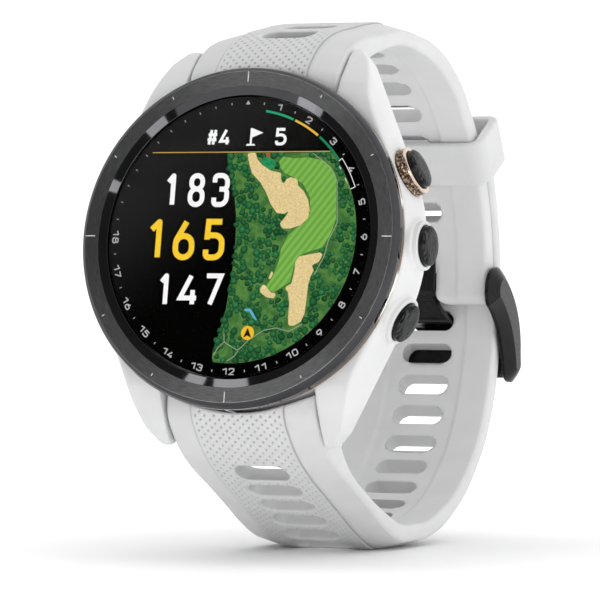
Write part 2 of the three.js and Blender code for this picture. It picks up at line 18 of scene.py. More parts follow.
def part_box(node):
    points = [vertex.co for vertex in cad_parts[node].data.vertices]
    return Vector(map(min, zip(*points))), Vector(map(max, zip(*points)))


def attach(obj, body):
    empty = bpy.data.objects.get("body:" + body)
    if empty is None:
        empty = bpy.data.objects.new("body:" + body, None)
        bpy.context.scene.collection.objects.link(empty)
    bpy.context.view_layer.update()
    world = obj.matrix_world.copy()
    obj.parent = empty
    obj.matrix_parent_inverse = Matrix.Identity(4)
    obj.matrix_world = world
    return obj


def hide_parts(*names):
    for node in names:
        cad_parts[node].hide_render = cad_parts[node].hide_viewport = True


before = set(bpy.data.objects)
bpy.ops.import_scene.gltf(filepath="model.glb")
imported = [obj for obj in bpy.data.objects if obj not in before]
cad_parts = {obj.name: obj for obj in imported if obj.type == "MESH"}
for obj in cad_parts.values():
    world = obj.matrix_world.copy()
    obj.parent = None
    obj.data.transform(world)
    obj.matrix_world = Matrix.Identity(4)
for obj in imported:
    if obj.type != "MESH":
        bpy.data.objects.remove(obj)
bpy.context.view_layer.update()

# ------------------------------------------------------------------ places taken from the frame
MM = 0.001
DIAL_TILT = math.radians(10.28)
UP_DIAL = Vector((0, math.sin(DIAL_TILT), math.cos(DIAL_TILT)))
OUT_OF_DIAL = Vector((0, -math.cos(DIAL_TILT), math.sin(DIAL_TILT)))
LENS_MIDDLE = -0.95                      # the lens's middle, from the bezel's top face
lens_low, lens_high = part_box("lens_glass")
DIAL_CENTRE = (lens_low + lens_high) / 2 - OUT_OF_DIAL * LENS_MIDDLE * MM


def axes(x, y, z, origin):
    """A matrix from its three axes and its origin."""
    return Matrix.Translation(origin) @ Matrix((x, y, z)).transposed().to_4x4()


WATCH = Matrix.Translation(DIAL_CENTRE) @ Matrix.Scale(MM, 4)
CASE = axes((1, 0, 0), UP_DIAL, OUT_OF_DIAL, DIAL_CENTRE) @ Matrix.Scale(MM, 4)

# Driving dimensions that the CAD shares
BEZEL_BORE = 17.4
LENS_RADIUS = 17.2
DISPLAY_RADIUS = 15.45
CASE_RADIUS = 21.3
CASE_TOP = -2.9
CASE_BOTTOM = -11.3
LUG_CORNER = Vector((13.1, 22.7))
LUG_TIP = 24.6
CAVITY_RADIUS = 16
STRAP_SEAT_RADIUS = 20.3                 # the round wall between the lugs, which a strap's end butts against
STRAP_SEAT_HALF_WIDTH = 10.3
STRAP_HALF_WIDTH = 10
BUCKLE_HALF_WIDTH = 9.6
WRIST_CENTRE = Vector((28.4, -5))
WRIST_RADIUS = 29.6
BUCKLE_STRAP_THICKNESS = 3.1
TAIL_RADIUS = 33.0
TAIL_THICKNESS = 2.4
SLOT_LENGTH = 7
SLOT_WIDTH = 2.7
BAND_HALF_WIDTH = 6.1                    # the strap's flat, grained middle band
BUTTON_HEIGHT = -6.4
BUTTON_RADIUS = 2.45
BUTTON_HEAD = 0.85                       # how far a cap stands above its seat
BUTTON_FLANGE = 1.3                      # depth of a cap below its seat
COLLAR_RADIUS = 3.0
COLLAR_SEAT = 1.5                        # depth of the collar's counterbore below the head's seat
CLIP_ROOM = 2.1                          # radius of the room for a button's seal and its clip
STEM_ROOM = 1.3                          # radius of the bore round a button's stem
BUTTONS = {"start": (24.5, 23.2), "menu": (-0.1, 23.0), "back": (-25, 22.9)}   # angle, face radius
SPRING_BAR = Vector((59.4, -7.4))
FAR_BAR = Vector((65.1, -17.4))
REST_HEIGHT = -39.5                      # the flat underside of the strap, which the watch stands on


# ------------------------------------------------------------------ materials
MAP_SPAN = 8                             # what a turned piece's map reads at its right; it is 0 at its left


class Paint:
    """A Principled material, with short calls for the nodes that drive it."""

    def __init__(self, name, color, roughness, metallic=0.0, **more):
        self.material = bpy.data.materials.new(name)
        self.material.use_nodes = True
        self.nodes = self.material.node_tree.nodes
        self.shader = self.nodes["Principled BSDF"]
        self.set("Base Color", (*color, 1))
        self.set("Roughness", roughness)
        self.set("Metallic", metallic)
        for key, value in more.items():
            self.set(key.replace("_", " "), value)

    def set(self, key, value):
        self.shader.inputs[key].default_value = value

    def link(self, output, target):
        self.material.node_tree.links.new(output, target)

    def node(self, kind, **values):
        made = self.nodes.new(kind)
        for key, value in values.items():
            if key in made.inputs:
                made.inputs[key].default_value = value
            else:
                setattr(made, key, value)
        return made

    def coords(self, kind="Object", stretch=(1, 1, 1)):
        source = self.node("ShaderNodeTexCoord")
        mapping = self.node("ShaderNodeMapping")
        mapping.inputs["Scale"].default_value = stretch
        self.link(source.outputs[kind], mapping.inputs["Vector"])
        return mapping.outputs["Vector"]

    def noise(self, size, detail=3.0, where=None, rough=0.5):
        """Noise whose grains are about this size in metres."""
        made = self.node("ShaderNodeTexNoise", Scale=1 / size, Detail=detail, Roughness=rough)
        self.link(where or self.coords(), made.inputs["Vector"])
        return made.outputs["Fac"]

    def ramp(self, value, *stops):
        """Colours by value; each stop is (position, colour or grey)."""
        made = self.node("ShaderNodeValToRGB")
        made.color_ramp.interpolation = "EASE"
        for i, (position, color) in enumerate(stops):
            color = (color,) * 3 if isinstance(color, (int, float)) else color
            element = made.color_ramp.elements[i] if i < 2 else made.color_ramp.elements.new(position)
            element.position = position
            element.color = (*color, 1)
        self.link(value, made.inputs["Fac"])
        return made.outputs["Color"]

    def multiply(self, one, two):
        """The product of two colours."""
        mix = self.node("ShaderNodeMix", data_type="RGBA", blend_type="MULTIPLY")
        mix.inputs["Factor"].default_value = 1.0
        self.link(one, mix.inputs[6])
        self.link(two, mix.inputs[7])
        return mix.outputs[2]

    def around(self):
        """A turned piece's own map: 0 at its left, 0.5 at its top and bottom, 1 at its right."""
        parts = self.node("ShaderNodeSeparateXYZ")
        self.link(self.coords("UV", (1 / MAP_SPAN, 1, 1)), parts.inputs[0])
        return parts.outputs[0]

    def drive(self, key, output):
        self.link(output, self.shader.inputs[key])

    def vary(self, key, size, low, high):
        """Drives an input by noise of a grain size, between two (position, value) stops."""
        self.drive(key, self.ramp(self.noise(size), low, high))

    def bump(self, height, depth):
        """Bump of a height output, depth metres deep."""
        made = self.node("ShaderNodeBump", Strength=1.0, Distance=depth)
        self.link(height, made.inputs["Height"])
        self.link(made.outputs["Normal"], self.shader.inputs["Normal"])


def silicone(name, painted_hollow_shade=False):
    """Matt silicone. The strap's own is darker down in its pits, grooves and cut edges: painted shade from a
    colour attribute.
    """
    paint = Paint(name, (0.68, 0.68, 0.685), 0.5, Specular_IOR_Level=0.35)
    shade = paint.ramp(paint.noise(0.004, 4), (0.3, (0.665, 0.665, 0.672)), (0.7, (0.695, 0.695, 0.7)))
    if painted_hollow_shade:
        # Painted shade: the strap's colour attribute darkens its pits, groove and cut edges
        hollow_shade = paint.node("ShaderNodeVertexColor", layer_name="depth")
        shade = paint.multiply(shade, hollow_shade.outputs["Color"])
    paint.drive("Base Color", shade)
    paint.vary("Roughness", 0.0006, (0.3, 0.44), (0.7, 0.58))
    paint.bump(paint.noise(0.00018, 2), 0.000006)
    return paint.material


def white_polymer():
    paint = Paint("white_polymer", (0.74, 0.74, 0.74), 0.38, Specular_IOR_Level=0.4)
    paint.vary("Base Color", 0.006, (0.3, (0.72, 0.72, 0.727)), (0.7, (0.755, 0.755, 0.757)))
    paint.vary("Roughness", 0.0004, (0.3, 0.33), (0.7, 0.45))
    paint.bump(paint.noise(0.00012, 2), 0.000003)
    return paint.material


def brushed(name, dark, light, low, high):
    """Metal brushed round its axis, streaked along its map, with a painted highlight at its top and bottom.
    """
    paint = Paint(name, dark, low, 1.0)
    streaks = paint.node("ShaderNodeTexNoise", Scale=1.0, Detail=4.0, Roughness=0.65)
    paint.link(paint.coords("UV", (6, 16, 1)), streaks.inputs["Vector"])
    streaked = paint.ramp(streaks.outputs["Fac"], (0.3, dark), (0.7, light))
    # Painted highlight: lighter at the top and bottom and darker at the left and right, where brushed
    # reflections fall
    sheen = paint.ramp(paint.around(), (0, 0.32), (0.25, 0.44), (0.5, 0.84), (0.67, 0.8), (0.8, 0.48),
                       (1, 0.5))
    paint.drive("Base Color", paint.multiply(streaked, sheen))
    paint.drive("Roughness", paint.ramp(streaks.outputs["Fac"], (0.3, low), (0.7, high)))
    paint.bump(streaks.outputs["Fac"], 0.000004)
    return paint.material


def accent_gold():
    """Rose gold with painted reflections: dark, and pale where the ring turns from the bezel's right end
    towards its top and bottom.
    """
    dark, pale_reflection = (0.22, 0.165, 0.12), (0.84, 0.79, 0.73)
    paint = Paint("accent_gold", dark, 0.2, 1.0)
    # Painted reflections: a pale band near the ring's right end, dark elsewhere
    paint.drive("Base Color", paint.ramp(paint.around(), (0.5, dark), (0.835, dark), (0.865, pale_reflection),
                                         (0.93, pale_reflection), (0.945, dark)))
    return paint.material


def polished(name, color, roughness):
    paint = Paint(name, color, roughness, 1.0)
    lighter = tuple(min(1, c * 1.12) for c in color)
    paint.vary("Base Color", 0.003, (0.35, color), (0.65, lighter))
    paint.vary("Roughness", 0.0015, (0.3, roughness), (0.7, roughness * 1.4))
    return paint.material


def forged_black():
    """Black with lighter fibres, like forged carbon. Its map is in millimetres."""
    paint = Paint("button_black", (0.02, 0.02, 0.022), 0.3, 0.0, Specular_IOR_Level=0.06)
    fibres = paint.node("ShaderNodeTexNoise", Scale=1.0, Detail=4.0, Roughness=0.62, Distortion=1.4)
    paint.link(paint.coords("UV", (0.5, 1.7, 1)), fibres.inputs["Vector"])
    paint.drive("Base Color", paint.ramp(fibres.outputs["Fac"], (0.42, 0.004), (0.62, (0.058, 0.059, 0.06))))
    paint.drive("Roughness", paint.ramp(fibres.outputs["Fac"], (0.4, 0.2), (0.6, 0.45)))
    paint.bump(fibres.outputs["Fac"], 0.0001)
    return paint.material


def pitted_gold():
    """Rose gold with painted shade: dark all over and darkest in its pits."""
    dark, size = (0.075, 0.045, 0.028), 0.0003
    paint = Paint("rose_gold_pitted", dark, 0.35, 1.0)
    pits = paint.noise(size)
    # Painted shade: dark in the pits and only a little lighter between them
    paint.drive("Base Color", paint.ramp(pits, (0.42, dark), (0.62, (0.5, 0.38, 0.28))))
    paint.bump(pits, size * 0.05)
    return paint.material


def satin_black():
    paint = Paint("black_metal", (0.006, 0.006, 0.007), 0.3, 0.0, Specular_IOR_Level=0.22)
    paint.vary("Base Color", 0.002, (0.3, (0.004, 0.004, 0.0045)), (0.7, (0.009, 0.009, 0.01)))
    paint.vary("Roughness", 0.0005, (0.3, 0.16), (0.7, 0.26))
    paint.bump(paint.noise(0.0002, 2), 0.000004)
    return paint.material


def plain_finish(name, color, roughness, metallic=0.0, grain=0.0008, **more):
    """A moulded or machined surface of one colour with a fine grain."""
    paint = Paint(name, color, roughness, metallic, **more)
    darker = tuple(c * 0.86 for c in color)
    paint.vary("Base Color", grain, (0.3, darker), (0.7, color))
    paint.vary("Roughness", grain, (0.3, roughness * 0.85), (0.7, roughness * 1.15))
    return paint.material


def board_green():
    paint = Paint("circuit_board", (0.02, 0.16, 0.07), 0.45)
    cells = paint.node("ShaderNodeTexVoronoi", Scale=900.0, feature="DISTANCE_TO_EDGE")
    paint.link(paint.coords(), cells.inputs["Vector"])
    paint.drive("Base Color", paint.ramp(cells.outputs["Distance"], (0.02, (0.35, 0.28, 0.08)),
                                         (0.08, (0.015, 0.13, 0.06))))
    return paint.material


def glow(name, color, darker=None, size=0.0005, stops=(0.35, 0.65)):
    """A lit part of the screen, its light varied by noise of the given grain."""
    paint = Paint(name, tuple(c * 0.05 for c in color), 0.5, Specular_IOR_Level=0.1)
    if not darker:
        darker, stops = tuple(c * 0.94 for c in color), (0.3, 0.7)
    paint.vary("Emission Color", size, (stops[0], darker), (stops[1], color))
    paint.set("Emission Strength", 1.0)
    return paint


def dial_black():
    """Black under the glass, with a faint painted sheen towards its upper left."""
    paint = Paint("dial_black", (0.002, 0.002, 0.0025), 0.6, Specular_IOR_Level=0.0)
    lean = paint.node("ShaderNodeVectorMath", operation="DOT_PRODUCT")
    lean.inputs[1].default_value = (-0.6, 0, 0.8)
    paint.link(paint.coords("Generated"), lean.inputs[0])
    # Painted sheen: the black grows a little lighter towards the upper left
    paint.drive("Base Color", paint.ramp(lean.outputs["Value"], (0.05, 0.0005), (0.52, 0.019)))
    return paint.material


def clear_glass():
    paint = Paint("lens_clear", (1, 1, 1), 0.02, Transmission_Weight=1.0, IOR=1.12)
    paint.vary("Roughness", 0.01, (0.3, 0.015), (0.7, 0.03))
    return paint.material


SILICONE = silicone("white_silicone")
STRAP_SILICONE = silicone("strap_silicone", True)
POLYMER = white_polymer()
BEZEL_FACE = brushed("bezel_brushed", (0.27, 0.272, 0.275), (0.46, 0.462, 0.466), 0.3, 0.42)
BEZEL_POLISH = polished("bezel_polished", (0.06, 0.06, 0.064), 0.025)
ROSE = polished("rose_gold", (0.64, 0.51, 0.42), 0.18)
ACCENT = accent_gold()
KNURL = pitted_gold()
CAP_BLACK = forged_black()
BLACK = satin_black()
GLASS = clear_glass()
DIAL_BLACK = dial_black()
RUBBER = plain_finish("seal_rubber", (0.012, 0.012, 0.012), 0.7)
STEEL = polished("steel", (0.55, 0.55, 0.57), 0.25)
GOLD = polished("gold_contact", (0.83, 0.62, 0.24), 0.2)
DARK_POLYMER = plain_finish("dark_polymer", (0.02, 0.02, 0.022), 0.5)
BOARD = board_green()
BATTERY = plain_finish("battery_cell", (0.4, 0.4, 0.42), 0.35, 0.8)
SENSOR_GLASS = plain_finish("sensor_glass", (0.008, 0.008, 0.01), 0.06, Coat_Weight=1.0)
PRINT = plain_finish("scale_print", (0.75, 0.75, 0.76), 0.5)


# ------------------------------------------------------------------ mesh tools
def piece(name, vertices, faces, place, body, material, replaces=(), crease=35, bevel=0, uv=None,
          segments=3):
    """One named mesh, brought from its own axes into the frame, on its body."""
    mesh = bpy.data.meshes.new(name)
    mesh.from_pydata(np.asarray(vertices, float).tolist(), [], [list(map(int, f)) for f in faces])
    if uv is not None:
        layer = mesh.uv_layers.new(name="around")
        corners = np.zeros(len(mesh.loops), np.int32)
        mesh.loops.foreach_get("vertex_index", corners)
        layer.data.foreach_set("uv", np.asarray(uv, np.float32)[corners].ravel())
    mesh.transform(place)
    obj = bpy.data.objects.new(name, mesh)
    bpy.context.scene.collection.objects.link(obj)
    return settle(obj, body, material, replaces, crease, bevel, segments)


def settle(obj, body, material, replaces=(), crease=35, bevel=0, segments=3):
    """Gives an object its finish, edges and body."""
    mesh = obj.data
    mesh.materials.clear()
    mesh.materials.append(material)
    mesh.shade_smooth()
    mesh.set_sharp_from_angle(angle=math.radians(crease))
    if bevel:
        edge = obj.modifiers.new("edges", "BEVEL")
        edge.width = bevel * MM
        edge.segments = segments
        edge.limit_method = "ANGLE"
        edge.angle_limit = math.radians(crease)
        edge.harden_normals = True
    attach(obj, body)
    if replaces:
        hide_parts(*replaces)
    return obj


def turned(profile, segments=160):
    """A closed body of revolution about Z from a closed (radius, height) outline, with its map."""
    profile = np.array(profile, float)
    steps = np.linalg.norm(np.diff(profile, axis=0, append=profile[:1]), axis=1)
    along = np.concatenate([[0], np.cumsum(steps)[:-1]])
    angle = np.arange(segments) * 2 * math.pi / segments
    count = len(profile)
    points = np.stack([
        np.outer(np.cos(angle), profile[:, 0]), np.outer(np.sin(angle), profile[:, 0]),
        np.tile(profile[:, 1], (segments, 1))], -1).reshape(-1, 3)
    uv = np.stack([np.repeat(np.abs(angle / math.pi - 1) * MAP_SPAN, count), np.tile(along, segments)], -1)
    i, k = np.meshgrid(np.arange(segments), np.arange(count), indexing="ij")
    near, far = i * count, (i + 1) % segments * count
    after = (k + 1) % count
    faces = np.stack([near + k, far + k, far + after, near + after], -1).reshape(-1, 4)
    return points, faces, uv


def spun(levels, segments=96):
    """A closed solid of revolution about Z from (radius, height) levels, upwards, with flat ends."""
    around = np.arange(segments) * 2 * math.pi / segments
    return loft([[(r * math.cos(a), r * math.sin(a), h) for a in around] for r, h in levels])


def held(outline, reach=0.03):
    """Adds a point near each end of an outline's long sides, so that they shade flat."""
    out = []
    for a, b in zip(outline, list(outline[1:]) + [outline[0]]):
        out.append(tuple(a))
        length = math.dist(a, b)
        if length > 4 * reach:
            share = reach / length
            out += [tuple(Vector(a).lerp(Vector(b), t)) for t in (share, 1 - share)]
    return out


def fillet(points, radii, steps=4, closed=True):
    """An outline with each corner rounded by its radius."""
    out = []
    count = len(points)
    for i, (x, y) in enumerate(points):
        here = Vector((x, y))
        radius = radii[i] if hasattr(radii, "__len__") else radii
        if not radius or (not closed and i in (0, count - 1)):
            out.append((x, y))
            continue
        before = Vector(points[i - 1]) - here
        after = Vector(points[(i + 1) % count]) - here
        angle = before.angle(after)
        reach = min(radius / math.tan(angle / 2), before.length * 0.499, after.length * 0.499)
        start, end = here + before.normalized() * reach, here + after.normalized() * reach
        true_radius = reach * math.tan(angle / 2)
        inwards = (before.normalized() + after.normalized()).normalized()
        middle = here + inwards * true_radius / math.sin(angle / 2)
        for k in range(steps + 1):
            out.append(tuple(middle + (start - middle).slerp(end - middle, k / steps) * true_radius))
    return [p for i, p in enumerate(out) if math.dist(p, out[i - 1]) > 1e-4 or (i == 0 and not closed)]


def arc(centre, radius, start, end, steps=24):
    """Points of an arc in degrees."""
    return [(centre[0] + radius * math.cos(a), centre[1] + radius * math.sin(a))
            for a in np.radians(np.linspace(start, end, steps + 1))]


def within(points, outline):
    """Whether each flat point lies in an outline."""
    x, y = np.asarray(points, float).T
    hit = np.zeros(len(x), bool)
    for (x1, y1), (x2, y2) in zip(outline, list(outline[1:]) + [outline[0]]):
        if y1 != y2:
            hit ^= ((y1 > y) != (y2 > y)) & (x < (x2 - x1) * (y - y1) / (y2 - y1) + x1)
    return hit


def plate(polygons, low, high):
    """Joins overlapping flat polygons into one solid plate between two heights."""
    points, faces = [], []
    for polygon in polygons:
        area = sum(a[0] * b[1] - b[0] * a[1] for a, b in zip(polygon, list(polygon[1:]) + [polygon[0]]))
        ordered = list(polygon) if area > 0 else list(polygon)[::-1]
        faces.append(list(range(len(points), len(points) + len(ordered))))
        points += [Vector(p) for p in ordered]
    flat, _, found, *_ = delaunay_2d_cdt(points, [], faces, 0, 1e-5)
    centres = [(flat[a] + flat[b] + flat[c]) / 3 for a, b, c in found]
    covered = np.any([within(centres, polygon) for polygon in polygons], axis=0)
    triangles = [face for face, keep in zip(found, covered) if keep]
    count = len(flat)
    directed = {(a, b) for t in triangles for a, b in zip(t, list(t[1:]) + [t[0]])}
    rim = [(a, b) for a, b in directed if (b, a) not in directed]
    vertices = [(p.x, p.y, high) for p in flat] + [(p.x, p.y, low) for p in flat]
    solid = [list(t) for t in triangles]
    solid += [[i + count for i in reversed(t)] for t in triangles]
    solid += [[a, a + count, b + count, b] for a, b in rim]
    return vertices, solid


def loft(rings):
    """Quads between equal closed rings, with flat ends."""
    count = len(rings[0])
    faces = [[level * count + i, level * count + (i + 1) % count,
              (level + 1) * count + (i + 1) % count, (level + 1) * count + i]
             for level in range(len(rings) - 1) for i in range(count)]
    faces.append(list(range(count))[::-1])
    faces.append([(len(rings) - 1) * count + i for i in range(count)])
    return np.array([p for ring in rings for p in ring], float), faces


def mesh_object(name, vertices, faces, place=Matrix.Identity(4)):
    """A bare closed object for cutting and joining, its faces turned outwards."""
    mesh = bpy.data.meshes.new(name)
    mesh.from_pydata([tuple(v) for v in vertices], [], [list(f) for f in faces])
    mesh.transform(place)
    work = bmesh.new()
    work.from_mesh(mesh)
    bmesh.ops.recalc_face_normals(work, faces=work.faces)
    work.to_mesh(mesh)
    work.free()
    obj = bpy.data.objects.new(name, mesh)
    bpy.context.scene.collection.objects.link(obj)
    return obj


def apply_modifiers(obj):
    """Replaces an object's mesh by what its modifiers make of it."""
    graph = bpy.context.evaluated_depsgraph_get()
    mesh = bpy.data.meshes.new_from_object(obj.evaluated_get(graph), depsgraph=graph)
    obj.modifiers.clear()
    obj.data = mesh
    return obj


def combine(obj, tool, operation):
    """A boolean of two solids. The tool is used up."""
    step = obj.modifiers.new("solid", "BOOLEAN")
    step.operation = operation
    step.solver = "EXACT"
    step.object = tool
    bpy.context.view_layer.update()
    apply_modifiers(obj)
    bpy.data.objects.remove(tool)
    return obj


def carve(obj, shape, place, operation="UNION"):
    """Joins a solid of (vertices, faces) to an object, or cuts or crops the object with it."""
    return combine(obj, mesh_object("tool", *shape, place), operation)


def refinish(obj, material, place, chosen):
    """Gives a second material to the faces whose middles, in the axes of place, are chosen."""
    obj.data.materials.append(material)
    inwards = place.inverted()
    for face in obj.data.polygons:
        if chosen(inwards @ face.center):
            face.material_index = 1


def soften(obj, voxel, passes):
    """Turns a solid into an even mesh and rounds its edges a little."""
    remesh = obj.modifiers.new("even", "REMESH")
    remesh.mode = "VOXEL"
    remesh.voxel_size = voxel * MM
    smooth = obj.modifiers.new("round", "SMOOTH")
    smooth.iterations = passes
    smooth.factor = 0.5
    bpy.context.view_layer.update()
    return apply_modifiers(obj)


def spin(vertices, turn, lift=0.0):
    """Turns points about Z by degrees and lifts them."""
    rotation = np.array(Matrix.Rotation(math.radians(turn), 3, "Z"))
    return np.asarray(vertices, float) @ rotation.T + np.array([0, 0, lift])


def axle(turn):
    """The case's axes turned so that x runs outwards along a button's axle."""
    return CASE @ Matrix.Rotation(math.radians(turn), 4, "Z")


def sideways(vertices, turn):
    """Lays a body turned about Z along the case's radius at an angle, at the buttons' height."""
    points = np.asarray(vertices, float)
    laid = np.stack([points[:, 2], points[:, 1], -points[:, 0]], -1)
    return spin(laid, turn, BUTTON_HEIGHT)


# ------------------------------------------------------------------ bezel and lens
BEZEL_FACE_HEIGHT = -0.015
BRUSHED_FROM, BRUSHED_TO = 18.5, 20.42    # radii of the bezel's brushed face; the rest is polished
SCREEN = -0.62                            # height of the screen's picture, from the bezel's top face


def make_bezel():
    outline = [(BEZEL_BORE, -2), (20.7, -2), (21, -1.7), (21, -0.9), (20.75, -0.33),
               (20.3, BEZEL_FACE_HEIGHT), (BRUSHED_FROM, BEZEL_FACE_HEIGHT), (BEZEL_BORE, -0.27)]
    radii = [0.1, 0.08, 0.12, 0.3, 0.35, 0.06, 0.04, 0.05]
    points, faces, uv = turned(held(fillet(outline, radii, 4)), 256)
    bezel = piece("bezel", points, faces, CASE, "watch", BEZEL_FACE, ["bezel_ring"], 60,
                  uv=uv)
    refinish(bezel, BEZEL_POLISH, CASE,
             lambda at: at.z < -0.3 or not BRUSHED_FROM <= math.hypot(at.x, at.y) <= BRUSHED_TO)
    marks = []
    for step in range(12):
        inner, outer, half = (19.0, 20.28, 0.055) if step % 3 == 0 else (19.5, 19.86, 0.05)
        turn = Matrix.Rotation(math.radians(-30 * step), 2)
        mark = [(-half, inner), (half, inner), (half, outer), (-half, outer)]
        marks.append([tuple(turn @ Vector(p)) for p in mark])
    vertices, faces = plate(marks, -0.1, 0)
    piece("bezel_marks", vertices, faces, CASE, "watch", PRINT)


def make_lens():
    points, faces = spun([(LENS_RADIUS, -0.5), (LENS_RADIUS, -0.3), (LENS_RADIUS - 0.1, -0.2)], 192)
    piece("lens_cover", points, faces, CASE, "watch", GLASS, ["lens_glass"], 40)
    points, faces = spun([(LENS_RADIUS - 0.1, -1.7), (LENS_RADIUS, -1.6), (LENS_RADIUS, SCREEN)], 192)
    piece("lens_backing", points, faces, CASE, "watch", DIAL_BLACK)
    accent = fillet([(18.6, -2.75), (20.85, -2.75), (20.85, -2.15), (18.6, -2.15)], 0.12, 3)
    points, faces, uv = turned(accent, 256)
    piece("accent_band", points, faces, CASE, "watch", ACCENT, ["accent_ring"], 40, uv=uv)


# ------------------------------------------------------------------ screen
# Strokes of each figure in a cell one wide and one high: (x, y) or (x, y, corner radius), and "o" if closed.
FIGURES = {
    "0": [["o", (0, 0, .5), (1, 0, .5), (1, 1, .5), (0, 1, .5)]],
    "1": [["", (.05, .78), (.82, 1, .02), (.82, 0)]],
    "2": [["", (0, .72), (0, 1, .5), (1, 1, .5), (1, .6, .4), (0, 0), (1, 0)]],
    "3": [["", (0, .76), (0, 1, .5), (1, 1, .5), (1, .53, .45), (.4, .53)],
          ["", (.4, .53), (1, .53, .45), (1, 0, .5), (0, 0, .5), (0, .24)]],
    "4": [["", (.62, 1), (0, .22), (1, .22)], ["", (.76, .5), (.76, 0)]],
    "5": [["", (.93, 1), (.07, 1), (.03, .5)], ["", (.03, .5), (.03, .62, .3), (1, .62, .5), (1, 0, .5),
                                                (0, 0, .5), (0, .22)]],
    "6": [["o", (0, 0, .5), (1, 0, .5), (1, .6, .5), (0, .6, .5)], ["", (0, .3), (.02, .48, .3), (.6, 1)]],
    "7": [["", (0, 1), (1, 1), (.32, 0)]],
    "8": [["o", (0, 0, .5), (1, 0, .5), (1, .54, .5), (0, .54, .5)],
          ["o", (.05, .54, .45), (.95, .54, .45), (.95, 1, .45), (.05, 1, .45)]],
    "9": [["o", (0, .4, .5), (1, .4, .5), (1, 1, .5), (0, 1, .5)], ["", (1, .7), (.98, .52, .3), (.4, 0)]],
    "#": [["", (.18, 0), (.4, 1)], ["", (.62, 0), (.84, 1)], ["", (0, .33), (.95, .33)],
          ["", (.08, .68), (1, .68)]],
}


def ribbon(path, width, closed=False):
    """Quads of a line of even width along a path."""
    points = [Vector(p) for p in path]
    count = len(points)
    sides = []
    for i, here in enumerate(points):
        before = (here - points[i - 1]) if closed or i else None
        after = (points[(i + 1) % count] - here) if closed or i + 1 < count else None
        before, after = before or after, after or before
        one, two = before.normalized(), after.normalized()
        middle = (one + two).normalized()
        normal = Vector((-middle.y, middle.x))
        stretch = min(2.2, 1 / max(0.2, abs(middle.dot(one))))
        offset = normal * width / 2 * stretch
        sides.append((here + offset, here - offset))
    last = count if closed else count - 1
    quads = []
    for i in range(last):
        (a, b), (c, d) = sides[i], sides[(i + 1) % count]
        quads.append([tuple(a), tuple(b), tuple(d), tuple(c)])
    return quads


def figure(symbol, left, low, width, height, stroke, soft=1.0):
    """A figure's quads in a box, drawn with strokes of one width."""
    inset = stroke / 2
    quads = []
    for first, *points in FIGURES[symbol]:
        radii = [(p[2] if len(p) > 2 else 0) * (width - stroke) * soft for p in points]
        path = [(left + inset + p[0] * (width - stroke), low + inset + p[1] * (height - stroke))
                for p in points]
        quads += ribbon(fillet(path, radii, 6, first == "o"), stroke, first == "o")
    return quads


def number(text, boxes, low, high, stroke):
    """A row of figures, each in its own (left, right) box."""
    return [quad for symbol, (left, right) in zip(text, boxes)
            for quad in figure(symbol, left, low, right - left, high - low, stroke)]


def placed(quads, move):
    """Flat polygons moved by a 3x3 matrix."""
    return [[tuple((move @ Vector((*p, 1))).xy) for p in quad] for quad in quads]


def on_dial(angle, radius, flip=False):
    """A matrix that sets a shape at a clock angle, its top outwards, or inwards if flipped."""
    turn = Matrix.Rotation(math.radians(-angle), 3, "Z")
    shift = Matrix(((1, 0, 0), (0, 1, radius), (0, 0, 1)))
    return turn @ shift @ (Matrix.Rotation(math.pi, 3, "Z") if flip else Matrix.Identity(3))


def lit(name, polygons, paint, layer=0, thickness=0.02):
    """One flat lit shape of the screen's picture, on a numbered layer."""
    low = SCREEN + layer * 0.012
    vertices, faces = plate(polygons, low, low + thickness)
    return piece(name, vertices, faces, CASE, "watch", paint.material)


def sector(inner, outer, start, end, steps=12):
    """Quads of a ring between two clock angles."""
    angles = np.radians(90 - np.linspace(start, end, steps + 1))
    rim = [[(radius * math.cos(a), radius * math.sin(a)) for radius in (inner, outer)] for a in angles]
    return [[rim[i][0], rim[i][1], rim[i + 1][1], rim[i + 1][0]] for i in range(steps)]


def make_figures():
    white = glow("screen_white", (0.93, 0.93, 0.93))
    yellow = glow("screen_yellow", (0.93, 0.6, 0.03))
    for name, text, boxes, low, high, stroke, paint in (
            ("back", "183", [(-10.2, -8.75), (-7.15, -4.9), (-3.95, -1.65)], 3.65, 7.85, 0.62, white),
            ("middle", "165", [(-12.05, -10.05), (-8.65, -5.75), (-4.55, -1.75)], -2.9, 2.2, 0.72, yellow),
            ("front", "147", [(-10.1, -8.7), (-7.45, -4.7), (-4.05, -1.55)], -8.6, -4.5, 0.6, white)):
        lit(f"distance_{name}", number(text, boxes, low, high, stroke), paint)
    header = number("#4", [(-5.25, -3.65), (-3.5, -2.0)], 11.2, 13.35, 0.36)
    header += figure("5", 3.95, 11.2, 1.5, 2.15, 0.36)
    pole = [(0.6, 11.2), (0.85, 11.2), (0.85, 13.35), (0.6, 13.35)]
    flag = [(0.85, 12.2), (2.3, 12.78), (0.85, 13.35)]
    foot = [(0.1, 11.2), (1.35, 11.2), (1.2, 11.42), (0.25, 11.42)]
    header += [pole, flag, foot]
    lit("hole_header", header, white)
    line = glow("screen_gold_line", (0.62, 0.42, 0.1))
    lit("header_line", [[(-12.3, 10.36), (11.35, 10.36), (11.35, 10.46), (-12.3, 10.46)]], line, 5)


SCALE_RADIUS = 16.5
SCORE_INNER, SCORE_OUTER = 15.5, 15.78
SCORE_BOX = (15.24, 16.12, 53.4, 68)      # radii and clock angles of the box round the current hole
BOX_LINE = 0.09


